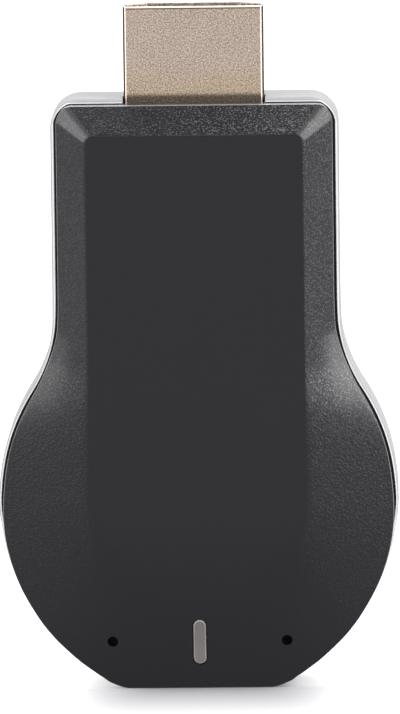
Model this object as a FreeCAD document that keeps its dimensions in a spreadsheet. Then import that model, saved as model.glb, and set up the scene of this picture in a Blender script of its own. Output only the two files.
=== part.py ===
# Wireless display adapter that plugs straight into a screen's video socket.
# It stands on its chin with the plug up: X to the right, the front faces -Y, Z up, millimetres.
# The two covers part on one plane, the board runs from the plug to the chin between them.
import FreeCAD, Part
import math
import os
import re
import Sketcher
from FreeCAD import Vector

# Driving dimensions: name, size in millimetres (angles in degrees), what it is
SIZES = [
    ("body_height", 58.2, "chin to the shoulder of the front cover"),
    ("neck_half", 13.86, "half width of the front cover's neck"),
    ("head_radius", 19.45, "radius of the round head"),
    ("head_centre", 18.5, "height of the head's centre"),
    ("neck_sweep", 12.65, "radius of the hollow curve from neck to head"),
    ("shoulder_round", 1.8, "corner radius of the front cover's shoulder"),
    ("chin_round", 4.6, "corner radius of the chin"),
    ("flank_angle", 45, "slope of the short straight flanks beside the chin"),
    ("front_depth", 4.4, "parting plane to the front face"),
    ("rear_depth", 8.0, "parting plane to the back face"),
    ("wall", 1.4, "wall of both covers"),
    ("rear_overhang", 0.4, "how far the rear cover stands out round the front cover"),
    ("rear_shoulder", 2.8, "corner radius of the rear cover's shoulder"),
    ("back_round", 1.7, "round on the rear cover's back edge"),
    ("rim_height", 1.5, "straight rim of the front cover"),
    ("plateau_half", 10.8, "half width of the raised plateau"),
    ("plateau_gap", 2.7, "plateau's top crease below the shoulder"),
    ("plateau_corner", 0.6, "corner radius of the plateau's top"),
    ("plateau_turn", 8.0, "radius where the plateau turns in towards its tip"),
    ("turn_start", 19.9, "height where that turn starts"),
    ("plateau_tip", 6.6, "height of the plateau's tip"),
    ("tip_round", 1.2, "corner radius of the tip"),
    ("crown_start", 17.0, "height below which the front face curves back"),
    ("crown_dip", 0.1, "how far that curve passes below the rim's edge at the chin"),
    ("edge_bevel", 0.15, "bevel along the front cover's rim"),
    ("head_room", 13.3, "radius of the round room inside the head"),
    ("lip_width", 0.7, "width of the front cover's locating lip"),
    ("lip_reach", 1.0, "how far the lip reaches into the rear cover"),
    ("hook_length", 4.0, "snap hooks, length"),
    ("hook_height", 0.35, "how far a snap hook stands out of the lip"),
    ("hook_drop", 7.7, "upper snap hooks below the shoulder"),
    ("hook_spacing", 10.5, "lower to upper snap hooks"),
    ("fit_gap", 0.1, "clearance of moulded fits"),
    ("fine_gap", 0.05, "clearance of small fits"),
    ("post_side", 2.0, "side of the board's square posts"),
    ("post_half", 9.0, "posts from the middle"),
    ("post_low", 22.0, "height of the lower posts"),
    ("post_drop", 2.0, "upper posts below the board's top edge"),
    ("peg_radius", 0.5, "radius of the pegs through the board"),
    ("peg_reach", 0.5, "pegs past the board, into the front cover's posts"),
    ("rib", 0.8, "thickness of the ribs under the collar"),
    ("plug_width", 13.9, "video plug shell, wide side"),
    ("plug_height", 4.45, "video plug shell, thickness"),
    ("plug_narrow", 9.5, "video plug shell, narrow side"),
    ("plug_side", 2.5, "straight part of the shell's short sides"),
    ("plug_reach", 9.6, "how far the plug stands out of the shoulder"),
    ("plug_hold", 6.6, "how far the shell reaches into the body"),
    ("plug_setback", 0.3, "plug's wide face behind the parting plane"),
    ("plug_round", 0.45, "round on the shell's long edges"),
    ("shell_sheet", 0.3, "sheet of the plug's shell"),
    ("mouth_depth", 1.0, "insulator below the plug's mouth"),
    ("slot_half", 1.05, "half height of the insulator's slot"),
    ("slot_width", 10.9, "width of the insulator's slot"),
    ("slot_depth", 8.4, "depth of the insulator's slot"),
    ("contact_pitch", 1.0, "spacing of the plug's contacts"),
    ("contact_width", 0.45, "width of a contact"),
    ("contact_sheet", 0.2, "thickness of a contact"),
    ("contact_bow", 0.25, "how far a contact bows into the slot"),
    ("contact_end", 0.3, "contacts below the insulator's face"),
    ("bow_foot", 2.5, "contact's bow above the slot's end"),
    ("bow_slope", 2.0, "slopes of the bow, length"),
    ("bow_crest", 1.0, "crest of the bow, length"),
    ("tail_length", 2.0, "contact tails along the board"),
    ("front_contacts", 10, "contacts in the front row"),
    ("rear_contacts", 9, "contacts in the rear row"),
    ("collar_wall", 0.9, "collar round the plug, wall"),
    ("collar_height", 2.0, "collar round the plug, height"),
    ("board", 1.0, "circuit board thickness"),
    ("board_drop", 0.7, "board's top edge below the plug's shell"),
    ("board_gap", 0.5, "board to the rear cover's wall"),
    ("board_foot", 1.9, "height of the board's lower edge"),
    ("bar_width", 1.4, "light bar, width"),
    ("bar_height", 4.45, "light bar, height"),
    ("bar_centre", 4.75, "light bar, height of its centre"),
    ("bar_flange", 0.5, "light guide's flange round the bar"),
    ("bar_flange_depth", 0.6, "light guide's flange, thickness"),
    ("pinhole_radius", 0.53, "radius of the pinholes"),
    ("pinhole_half", 8.64, "pinholes from the middle"),
    ("pinhole_centre", 4.8, "height of the pinholes"),
    ("lamp_width", 1.6, "status lamp, width"),
    ("lamp_height", 0.8, "status lamp, height"),
    ("lamp_depth", 0.6, "status lamp, thickness"),
    ("usb_width", 7.5, "power socket shell, width"),
    ("usb_height", 2.5, "power socket shell, thickness"),
    ("usb_length", 5.0, "power socket shell, length"),
    ("usb_recess", 0.3, "power socket's mouth above the chin"),
    ("usb_sheet", 0.25, "sheet of the power socket's shell"),
    ("usb_chamfer", 0.8, "bevelled corners of the power socket"),
    ("tongue_width", 3.7, "power socket's tongue, width"),
    ("tongue_depth", 0.6, "power socket's tongue, thickness"),
    ("tongue_mouth", 1.0, "tongue above the power socket's mouth"),
    ("usb_back", 1.2, "power socket's back block, length"),
    ("pin_pitch", 0.65, "spacing of the power socket's contacts"),
    ("pin_width", 0.3, "width of a power contact"),
    ("pin_sheet", 0.15, "thickness of a power contact"),
    ("pins", 5, "contacts in the power socket"),
    ("button_length", 4.6, "function button, length"),
    ("button_width", 1.5, "function button, width"),
    ("button_recess", 0.1, "button's face below the cover's side"),
    ("button_depth", 1.1, "button's middle behind the board"),
    ("button_drop", 18.2, "button's middle below the shoulder"),
    ("button_flange", 0.3, "button's flange, thickness"),
    ("flange_step", 0.25, "button's flange round the button"),
    ("nub_length", 0.2, "button's nub, length"),
    ("nub_width", 0.8, "button's nub, width"),
    ("switch_length", 4.8, "switch, length along the board's edge"),
    ("switch_width", 2.4, "switch, width"),
    ("switch_depth", 1.7, "switch, thickness"),
    ("switch_sheet", 0.15, "sheet of the switch's cover"),
    ("plunger_length", 1.8, "switch plunger, length along the board's edge"),
    ("plunger_width", 0.8, "switch plunger, thickness"),
    ("plunger_reach", 0.7, "plunger out of the switch"),
    ("plunger_hold", 0.3, "plunger inside the switch"),
    ("plunger_pocket", 0.8, "depth of the plunger's pocket"),
    ("processor_side", 13.0, "processor, side"),
    ("processor_depth", 1.1, "processor, thickness"),
    ("processor_centre", 31.0, "processor, height of its middle"),
    ("pad_side", 11.0, "thermal pad, side"),
    ("pad_depth", 0.5, "thermal pad, thickness"),
    ("spreader_width", 15.0, "heat spreader, width"),
    ("spreader_height", 20.0, "heat spreader, height"),
    ("spreader_sheet", 0.7, "heat spreader, sheet"),
    ("spreader_edge", 0.9, "heat spreader, folded edges"),
    ("memory_width", 11.0, "memory chip, width"),
    ("memory_height", 4.0, "memory chip, height"),
    ("memory_depth", 0.9, "memory chip, thickness"),
    ("flash_width", 8.0, "flash chip, width"),
    ("flash_height", 6.0, "flash chip, height"),
    ("flash_depth", 0.8, "flash chip, thickness"),
    ("flash_centre", 33.0, "flash chip, height of its middle"),
    ("radio_side", 12.0, "radio board, side"),
    ("radio_depth", 0.8, "radio board, thickness"),
    ("radio_centre", 14.6, "radio board, height of its middle"),
    ("can_side", 10.4, "radio's shield can, side"),
    ("can_depth", 1.3, "radio's shield can, thickness"),
    ("can_sheet", 0.2, "radio's shield can, sheet"),
    ("antenna_width", 3.2, "antenna, width"),
    ("antenna_height", 1.6, "antenna, height"),
    ("antenna_depth", 1.2, "antenna, thickness"),
    ("antenna_half", 11.5, "antennas from the middle"),
    ("antenna_centre", 9.5, "height of the antennas"),
    ("crystal_width", 2.5, "crystal can, width"),
    ("crystal_height", 3.2, "crystal can, height"),
    ("crystal_depth", 0.7, "crystal can, thickness"),
    ("crystal_off", 9.3, "crystal can from the middle"),
    ("inductor_side", 5.0, "power inductor, side"),
    ("inductor_depth", 2.6, "power inductor, thickness"),
    ("inductor_off", 6.0, "power inductor from the middle"),
    ("power_centre", 13.0, "height of the power parts"),
    ("regulator_side", 3.0, "voltage regulator, side"),
    ("regulator_depth", 1.0, "voltage regulator, thickness"),
    ("regulator_off", 0.2, "voltage regulator from the middle"),
    ("bulk_width", 3.5, "bulk capacitor, width"),
    ("bulk_height", 2.8, "bulk capacitor, height"),
    ("bulk_depth", 1.9, "bulk capacitor, thickness"),
    ("bulk_off", 6.5, "bulk capacitor from the middle"),
    ("small_length", 1.6, "small capacitors and resistors, length"),
    ("small_width", 0.8, "small capacitors and resistors, width"),
    ("small_depth", 0.6, "small capacitors, thickness"),
    ("resistor_depth", 0.4, "chip resistors, thickness"),
    ("small_pitch", 2.4, "spacing of the small parts"),
    ("cut_past", 1.0, "how far a cutting shape passes what it cuts"),
]

doc = FreeCAD.newDocument("display_adapter")
sheet = doc.addObject("Spreadsheet::Sheet", "dims")
for row, (alias, size, note) in enumerate(SIZES, start=1):
    sheet.set(f"A{row}", note)
    sheet.set(f"B{row}", str(size))
    sheet.setAlias(f"B{row}", alias)
doc.recompute()

NAMES = {alias for alias, size, note in SIZES}
NEAR = 1e-4  # closer than this counts as the same place


def bound(text):
    """An expression on the size names, as the sheet's cells are written in an object's expression."""
    return re.sub(r"[a-z_]+", lambda word: f"dims.{word[0]}" if word[0] in NAMES else word[0], str(text))


def value(text):
    """The number that an expression on the size names gives."""
    return float(sheet.evalExpression(bound(text)))


def bind(thing, path, text):
    thing.setExpression(path, bound(text))


BACK_STEPS = 3  # flats that make the round on the rear cover's back edge

# Planes and levels that the pieces share; Y grows to the back
PARTING = "((front_depth - rear_depth) / 2)"
FRONT = "(-(front_depth + rear_depth) / 2)"
BACK = "((front_depth + rear_depth) / 2)"
PLUG_MID = f"({PARTING} + plug_setback + plug_height / 2)"
BOARD_FRONT = f"({PLUG_MID} - board / 2)"
BOARD_REAR = f"({PLUG_MID} + board / 2)"
SHELL_FOOT = "(body_height - plug_hold)"
BOARD_TOP = f"({SHELL_FOOT} - board_drop)"
MOUTH = "(body_height + plug_reach)"
REAR_SIDE = "(neck_half + rear_overhang)"
CROWN_DROP = "(front_depth - rim_height + crown_dip)"
CROWN_RADIUS = f"((crown_start^2 + {CROWN_DROP}^2) / 2 / {CROWN_DROP})"
REAR_INNER_SHOULDER = "(rear_shoulder - 0.6 * wall)"
LIP_OUTSIDE = "(wall - rear_overhang + fit_gap)"
COLLAR_TOP = "(body_height - wall - 2 * fit_gap)"
HOOK_LOW = "(body_height - hook_drop - hook_spacing)"
POST_HIGH = f"({BOARD_TOP} - post_drop)"
MEMORY_UP = f"((processor_centre + processor_side / 2 + {BOARD_TOP} - tail_length) / 2)"
BUTTON_UP = "(body_height - button_drop)"
FACET_LEAN = "atan((front_depth - rim_height) / (neck_half - plateau_half))"
BOARD_INSET = "(wall - rear_overhang + board_gap)"

nodes = {}


def node(name, thing):
    """Names a finished piece; its label is the name of its file."""
    thing.Label = name
    nodes[name] = thing
    return thing


# Sketches

def new_body(name):
    return doc.addObject("PartDesign::Body", name)


def origin_part(body, role):
    return next(item for item in body.Origin.OriginFeatures if item.Role == role)


def sketch(body, name, role, level="0"):
    """A sketch on one of the body's own planes, raised by a level along the plane's normal."""
    made = body.newObject("Sketcher::SketchObject", name)
    made.AttachmentSupport = [(origin_part(body, role), "")]
    made.MapMode = "FlatFace"
    bind(made, "AttachmentOffset.Base.z", level)
    return made


def front_sketch(body, name, depth):
    """A sketch in X and Z at a depth along Y; its normal points to the front."""
    return sketch(body, name, "XZ_Plane", f"-({depth})")


def dimension(sk, kind, geometry, point, text):
    """Ties one coordinate of a point to an expression."""
    index = sk.addConstraint(Sketcher.Constraint(kind, -1, 1, geometry, point, value(text)))
    bind(sk, f"Constraints[{index}]", text)


def radius(sk, geometry, text):
    index = sk.addConstraint(Sketcher.Constraint("Radius", geometry, value(text)))
    bind(sk, f"Constraints[{index}]", text)


def polygon(sk, corners):
    """A straight-sided outline; each corner is a pair of expressions."""
    points = [Vector(value(across), value(up), 0) for across, up in corners]
    first = sk.GeometryCount
    count = len(points)
    for index in range(count):
        sk.addGeometry(Part.LineSegment(points[index], points[(index + 1) % count]), False)
    for index, (across, up) in enumerate(corners):
        line = first + index
        sk.addConstraint(Sketcher.Constraint("Coincident", line, 2, first + (index + 1) % count, 1))
        dimension(sk, "DistanceX", line, 1, across)
        dimension(sk, "DistanceY", line, 1, up)


def rectangle(sk, left, right, low, high):
    polygon(sk, [(left, low), (right, low), (right, high), (left, high)])


def circle(sk, across, up, size):
    centre = Vector(value(across), value(up), 0)
    made = sk.addGeometry(Part.Circle(centre, Vector(0, 0, 1), value(size)), False)
    dimension(sk, "DistanceX", made, 3, across)
    dimension(sk, "DistanceY", made, 3, up)
    radius(sk, made, size)


def arc(sk, centre, size, start, end):
    """An arc by its centre, radius and the angles of its ends, anticlockwise."""
    round_part = Part.Circle(Vector(centre[0], centre[1], 0), Vector(0, 0, 1), size)
    return sk.addGeometry(Part.ArcOfCircle(round_part, math.radians(start), math.radians(end)), False)


def stadium(sk, across, up, wide, tall):
    """A slot with round ends; its longer side runs up the sketch."""
    x = value(across)
    size = value(wide) / 2
    reach = (value(tall) - value(wide)) / 2
    low = value(up) - reach
    high = value(up) + reach
    top = arc(sk, (x, high), size, 0, 180)
    left = sk.addGeometry(Part.LineSegment(Vector(x - size, high, 0), Vector(x - size, low, 0)), False)
    foot = arc(sk, (x, low), size, 180, 360)
    right = sk.addGeometry(Part.LineSegment(Vector(x + size, low, 0), Vector(x + size, high, 0)), False)
    for first, second in ((top, left), (left, foot), (foot, right), (right, top)):
        sk.addConstraint(Sketcher.Constraint("Tangent", first, 2, second, 1))
    radius(sk, top, f"({wide}) / 2")
    dimension(sk, "DistanceX", top, 3, across)
    dimension(sk, "DistanceX", foot, 3, across)
    dimension(sk, "DistanceY", top, 3, f"({up}) + (({tall}) - ({wide})) / 2")
    dimension(sk, "DistanceY", foot, 3, f"({up}) - (({tall}) - ({wide})) / 2")


# The paddle outline, used for both covers, the lip and the board

NECK_TURN = "(head_centre + sqrt((head_radius + neck_sweep)^2 - (neck_half + neck_sweep)^2))"


def paddle(sk, side, top, floor, shoulder):
    """Neck, hollow curves, round head, flanks and flat chin. side is how far the sides move in, top and
    floor are the heights of its flat ends, and shoulder is its corner radius."""
    half = f"(neck_half - ({side}))"
    head = f"(head_radius - ({side}))"
    sweep = f"(neck_sweep + ({side}))"
    chin = f"(chin_round - 0.5 * ({side}))"
    x_neck = value(half)
    size_head = value(head)
    size_sweep = value(sweep)
    size_shoulder = value(shoulder)
    size_chin = value(chin)
    z_top = value(top)
    z_floor = value(floor)
    z_head = value("head_centre")
    z_turn = value(NECK_TURN)
    lean = value("flank_angle")
    join = math.degrees(math.atan2(z_turn - z_head, x_neck + size_sweep))
    touch_x = size_head * math.sin(math.radians(lean))
    touch_z = z_head - size_head * math.cos(math.radians(lean))
    corner_x = touch_x - (touch_z - z_floor) / math.tan(math.radians(lean))
    cut = size_chin * math.tan(math.radians(lean / 2))
    flank_x = corner_x + cut * math.cos(math.radians(lean))
    flank_z = z_floor + cut * math.sin(math.radians(lean))

    def line(x1, z1, x2, z2):
        return sk.addGeometry(Part.LineSegment(Vector(x1, z1, 0), Vector(x2, z2, 0)), False)

    def tangent(first, end, second, start):
        sk.addConstraint(Sketcher.Constraint("Tangent", first, end, second, start))

    crown = line(x_neck - size_shoulder, z_top, size_shoulder - x_neck, z_top)
    sole = line(cut - corner_x, z_floor, corner_x - cut, z_floor)
    for hand in (1, -1):
        if hand == 1:
            shoulder_arc = arc(sk, (x_neck - size_shoulder, z_top - size_shoulder), size_shoulder, 0, 90)
            sweep_arc = arc(sk, (x_neck + size_sweep, z_turn), size_sweep, 180, 180 + join)
            upper = arc(sk, (0, z_head), size_head, 0, join)
            lower = arc(sk, (0, z_head), size_head, lean - 90, 0)
            chin_arc = arc(sk, (corner_x - cut, z_floor + size_chin), size_chin, -90, lean - 90)
            far_index, near_index = 2, 1
            top_index, sole_index = 1, 2
        else:
            shoulder_arc = arc(sk, (size_shoulder - x_neck, z_top - size_shoulder), size_shoulder, 90, 180)
            sweep_arc = arc(sk, (-x_neck - size_sweep, z_turn), size_sweep, -join, 0)
            upper = arc(sk, (0, z_head), size_head, 180 - join, 180)
            lower = arc(sk, (0, z_head), size_head, 180, 270 - lean)
            chin_arc = arc(sk, (cut - corner_x, z_floor + size_chin), size_chin, 270 - lean, 270)
            far_index, near_index = 1, 2
            top_index, sole_index = 2, 1
        neck = line(hand * x_neck, z_turn, hand * x_neck, z_top - size_shoulder)
        flank = line(hand * flank_x, flank_z, hand * touch_x, touch_z)
        tangent(crown, top_index, shoulder_arc, far_index)
        tangent(shoulder_arc, near_index, neck, 2)
        tangent(neck, 1, sweep_arc, near_index)
        tangent(sweep_arc, far_index, upper, far_index)
        sk.addConstraint(Sketcher.Constraint("Coincident", upper, near_index, lower, far_index))
        sk.addConstraint(Sketcher.Constraint("Coincident", upper, 3, lower, 3))
        tangent(lower, near_index, flank, 2)
        tangent(flank, 1, chin_arc, far_index)
        tangent(chin_arc, near_index, sole, sole_index)
        sk.addConstraint(Sketcher.Constraint("Vertical", neck))
        dimension(sk, "DistanceX", neck, 1, half if hand == 1 else f"-{half}")
        radius(sk, shoulder_arc, shoulder)
        radius(sk, sweep_arc, sweep)
        radius(sk, upper, head)
        radius(sk, chin_arc, chin)
        dimension(sk, "DistanceX", upper, 3, "0")
        dimension(sk, "DistanceY", upper, 3, "head_centre")
        dimension(sk, "DistanceY", upper, near_index, "head_centre")
        dimension(sk, "DistanceY", lower, near_index, f"head_centre - {head} * cos(flank_angle)")
    sk.addConstraint(Sketcher.Constraint("Horizontal", crown))
    sk.addConstraint(Sketcher.Constraint("Horizontal", sole))
    dimension(sk, "DistanceY", crown, 1, top)
    dimension(sk, "DistanceY", sole, 1, floor)


def plateau(sk, inset):
    """Outline of the raised plateau: straight sides, a turn to slanting flanks and a small tip. It has
    one edge for each edge of the paddle outline, so that the loft between them is even."""
    half = f"(plateau_half - ({inset}))"
    turn = f"(plateau_turn - ({inset}))"
    top = f"(body_height - plateau_gap - ({inset}))"
    tip = f"(plateau_tip + ({inset}))"
    x_side = value(half)
    size_turn = value(turn)
    size_corner = value("plateau_corner")
    size_tip = value("tip_round")
    z_top = value(top)
    z_tip = value(tip)
    z_turn = value("turn_start")
    z_neck = value(NECK_TURN)
    lean = value("flank_angle")
    join = (z_neck + z_turn) / 2
    touch_x = x_side - size_turn * (1 - math.sin(math.radians(lean)))
    touch_z = z_turn - size_turn * math.cos(math.radians(lean))
    corner_x = touch_x - (touch_z - z_tip) / math.tan(math.radians(lean))
    cut = size_tip * math.tan(math.radians(lean / 2))
    flank_x = corner_x + cut * math.cos(math.radians(lean))
    flank_z = z_tip + cut * math.sin(math.radians(lean))

    def line(x1, z1, x2, z2):
        return sk.addGeometry(Part.LineSegment(Vector(x1, z1, 0), Vector(x2, z2, 0)), False)

    def tangent(first, end, second, start):
        sk.addConstraint(Sketcher.Constraint("Tangent", first, end, second, start))

    crown = line(x_side - size_corner, z_top, size_corner - x_side, z_top)
    sole = line(cut - corner_x, z_tip, corner_x - cut, z_tip)
    for hand in (1, -1):
        if hand == 1:
            corner = arc(sk, (x_side - size_corner, z_top - size_corner), size_corner, 0, 90)
            turn_arc = arc(sk, (x_side - size_turn, z_turn), size_turn, lean - 90, 0)
            tip_arc = arc(sk, (corner_x - cut, z_tip + size_tip), size_tip, -90, lean - 90)
            far_index, near_index = 2, 1
            top_index, sole_index = 1, 2
        else:
            corner = arc(sk, (size_corner - x_side, z_top - size_corner), size_corner, 90, 180)
            turn_arc = arc(sk, (size_turn - x_side, z_turn), size_turn, 180, 270 - lean)
            tip_arc = arc(sk, (cut - corner_x, z_tip + size_tip), size_tip, 270 - lean, 270)
            far_index, near_index = 1, 2
            top_index, sole_index = 2, 1
        high = line(hand * x_side, z_neck, hand * x_side, z_top - size_corner)
        middle = line(hand * x_side, join, hand * x_side, z_neck)
        low = line(hand * x_side, z_turn, hand * x_side, join)
        flank = line(hand * flank_x, flank_z, hand * touch_x, touch_z)
        tangent(crown, top_index, corner, far_index)
        tangent(corner, near_index, high, 2)
        for first, second in ((high, middle), (middle, low)):
            sk.addConstraint(Sketcher.Constraint("Coincident", first, 1, second, 2))
            sk.addConstraint(Sketcher.Constraint("Vertical", second))
        tangent(low, 1, turn_arc, far_index)
        tangent(turn_arc, near_index, flank, 2)
        tangent(flank, 1, tip_arc, far_index)
        tangent(tip_arc, near_index, sole, sole_index)
        sk.addConstraint(Sketcher.Constraint("Vertical", high))
        dimension(sk, "DistanceX", high, 1, half if hand == 1 else f"-{half}")
        dimension(sk, "DistanceY", high, 1, NECK_TURN)
        dimension(sk, "DistanceY", middle, 1, f"({NECK_TURN} + turn_start) / 2")
        dimension(sk, "DistanceY", low, 1, "turn_start")
        radius(sk, corner, "plateau_corner")
        radius(sk, turn_arc, turn)
        radius(sk, tip_arc, "tip_round")
        dimension(sk, "DistanceY", turn_arc, near_index, f"turn_start - {turn} * cos(flank_angle)")
    sk.addConstraint(Sketcher.Constraint("Horizontal", crown))
    sk.addConstraint(Sketcher.Constraint("Horizontal", sole))
    dimension(sk, "DistanceY", crown, 1, top)
    dimension(sk, "DistanceY", sole, 1, tip)


# Features

def pad(body, name, profile, length, both_ways=False, backwards=False):
    made = body.newObject("PartDesign::Pad", name)
    made.Profile = profile
    bind(made, "Length", length)
    if both_ways:
        made.SideType = "Symmetric"
    made.Reversed = backwards
    return made


def pocket(body, name, profile, length, both_ways=False, backwards=False):
    """Cuts against the sketch's normal, or along it when backwards is set."""
    doc.recompute()
    before = body.Shape.Volume
    made = body.newObject("PartDesign::Pocket", name)
    made.Profile = profile
    bind(made, "Length", length)
    if both_ways:
        made.SideType = "Symmetric"
    made.Reversed = backwards
    doc.recompute()
    if body.Shape.Volume > before - NEAR:
        raise RuntimeError(f"{body.Name}.{name} cuts nothing")
    return made


def pattern(body, name, feature, role, length, count):
    made = body.newObject("PartDesign::LinearPattern", name)
    made.Originals = [feature]
    made.Direction = (origin_part(body, role), [""])
    bind(made, "Length", length)
    bind(made, "Occurrences", count)
    body.Tip = made
    return made


def edges_where(shape, wanted):
    return [f"Edge{index}" for index, edge in enumerate(shape.Edges, start=1) if wanted(edge)]


def fillet(body, name, wanted, size):
    doc.recompute()
    base = body.Tip
    made = body.newObject("PartDesign::Fillet", name)
    made.Base = (base, edges_where(base.Shape, wanted))
    bind(made, "Radius", size)
    doc.recompute()
    return made


def spans(edge, axis):
    """How far an edge reaches along one axis."""
    box = edge.BoundBox
    return {"x": box.XLength, "y": box.YLength, "z": box.ZLength}[axis]


def along(edge, axis):
    """Whether an edge runs straight along one axis."""
    return all(spans(edge, other) < NEAR for other in "xyz" if other != axis)


# The front cover's form, also used for its hollow

def crown_profile(body, name, size, low, high, front):
    """What the crown's curve cuts away, in Y and Z: all that lies before an arc round the crown's centre,
    from one height to another."""
    over = sketch(body, name, "YZ_Plane")
    beyond = f"({front} - cut_past)"
    y_centre = value(f"{FRONT} + {CROWN_RADIUS}")
    z_centre = value("crown_start")
    reach = value(size)

    def on_arc(height):
        z = value(height)
        y = y_centre - math.sqrt(reach ** 2 - (z_centre - z) ** 2)
        return y, z, math.degrees(math.atan2(z - z_centre, y - y_centre)) % 360

    y_high, z_high, start = on_arc(high)
    y_low, z_low, end = on_arc(low)
    y_far = value(beyond)
    chain = [arc(over, (y_centre, z_centre), reach, start, end)]
    ends = [(y_low, z_low), (y_far, z_low), (y_far, z_high), (y_high, z_high)]
    for first, second in zip(ends, ends[1:]):
        chain.append(over.addGeometry(Part.LineSegment(Vector(*first, 0), Vector(*second, 0)), False))
    for first, second in zip(chain, chain[1:] + chain[:1]):
        over.addConstraint(Sketcher.Constraint("Coincident", first, 2, second, 1))
    dimension(over, "DistanceX", chain[0], 3, f"{FRONT} + {CROWN_RADIUS}")
    dimension(over, "DistanceY", chain[0], 3, "crown_start")
    radius(over, chain[0], size)
    dimension(over, "DistanceY", chain[0], 1, high)
    dimension(over, "DistanceY", chain[0], 2, low)
    dimension(over, "DistanceX", chain[1], 2, beyond)
    dimension(over, "DistanceX", chain[2], 2, beyond)
    dimension(over, "DistanceY", chain[1], 2, low)
    dimension(over, "DistanceY", chain[2], 2, high)
    return over


def crown_cut(body, size, front):
    """Lets the front face curve back towards the chin."""
    over = crown_profile(body, body.Name + "_crown", size, "-cut_past", "crown_start", front)
    pocket(body, body.Name + "_crown_cut", over, "4 * head_radius", both_ways=True)


def make_outer_form(cover):
    """Straight rim, bevelled edge, sloped facets up to the plateau, and the crown."""
    rim_front = f"({PARTING} - rim_height)"
    rim = front_sketch(cover, "rim_outline", PARTING)
    paddle(rim, "0", "body_height", "0", "shoulder_round")
    pad(cover, "rim", rim, "rim_height - edge_bevel")
    edge = front_sketch(cover, "edge_outline", f"{rim_front} + edge_bevel")
    paddle(edge, "0", "body_height", "0", "shoulder_round")
    bevel = front_sketch(cover, "bevel_outline", f"{rim_front} - 0.5 * edge_bevel")
    paddle(bevel, "edge_bevel", "body_height - edge_bevel", "0", "shoulder_round - edge_bevel")
    face = front_sketch(cover, "plateau_outline", FRONT)
    plateau(face, "0")
    loft = cover.newObject("PartDesign::AdditiveLoft", "facets")
    loft.Profile = edge
    loft.Sections = [bevel, face]
    loft.Ruled = True
    crown_cut(cover, CROWN_RADIUS, FRONT)


def make_hollow():
    """The room inside the front cover, stepped as its form rises: the rim, the round head and the plateau."""
    hollow = new_body("front_hollow")
    steep = f"tan((90 deg - {FACET_LEAN}) / 2)"
    inner_face = f"({FRONT} + wall)"
    rim = front_sketch(hollow, "rim_room_outline", PARTING)
    paddle(rim, "wall", "body_height - wall", "wall", "shoulder_round")
    pad(hollow, "rim_room", rim, f"rim_height - wall * {steep}")
    head = front_sketch(hollow, "head_room_outline", PARTING)
    circle(head, "0", "head_centre", "head_room")
    pad(hollow, "head_room", head, f"0.5 * ({PARTING} - {inner_face} + rim_height - wall * {steep})")
    face = front_sketch(hollow, "face_room_outline", PARTING)
    plateau(face, f"wall * tan({FACET_LEAN} / 2)")
    pad(hollow, "face_room", face, f"{PARTING} - {inner_face}")
    crown_cut(hollow, f"({CROWN_RADIUS} - wall)", inner_face)
    return hollow


def post_places():
    for hand in ("-", ""):
        for height in ("post_low", POST_HIGH):
            yield f"{hand}post_half", height


def snap_profile(body, name, grow):
    """Wedges on both sides of the neck that stand out of the lip, in X and Y, larger all round by grow."""
    hooks = sketch(body, name, "XY_Plane", f"{HOOK_LOW} - hook_length / 2 - {grow}")
    root = f"neck_half - {LIP_OUTSIDE} - 0.5 * lip_width"
    tip = f"neck_half - {LIP_OUTSIDE} + hook_height + {grow}"
    low = f"{PARTING} + 0.2 * lip_reach - {grow}"
    crest = f"{PARTING} + 0.4 * lip_reach"
    high = f"{PARTING} + 0.95 * lip_reach + {grow}"
    for hand in ("-", ""):
        polygon(hooks, [
            (f"{hand}({root})", low),
            (f"{hand}({tip})", low),
            (f"{hand}({tip})", f"{crest} + {grow}"),
            (f"{hand}({root})", high),
        ])
    return hooks


def post_circles(body, name, depth, size):
    """A circle of one radius at each of the board's four posts."""
    rings = front_sketch(body, name, depth)
    for across, height in post_places():
        circle(rings, across, height, size)
    return rings


def post_squares(body, name, depth):
    """The square end of each of the board's four posts."""
    ends = front_sketch(body, name, depth)
    for across, height in post_places():
        rectangle(ends, f"{across} - post_side / 2", f"{across} + post_side / 2", f"{height} - post_side / 2",
                  f"{height} + post_side / 2")
    return ends


def collar_rib(body, name, depth):
    """The end of a rib that the plug's collar stands on."""
    rib = front_sketch(body, name, depth)
    seat = f"({COLLAR_TOP} - collar_height - fit_gap)"
    rectangle(rib, "-0.4 * plug_width", "0.4 * plug_width", f"{seat} - rib", seat)
    return rib


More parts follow.
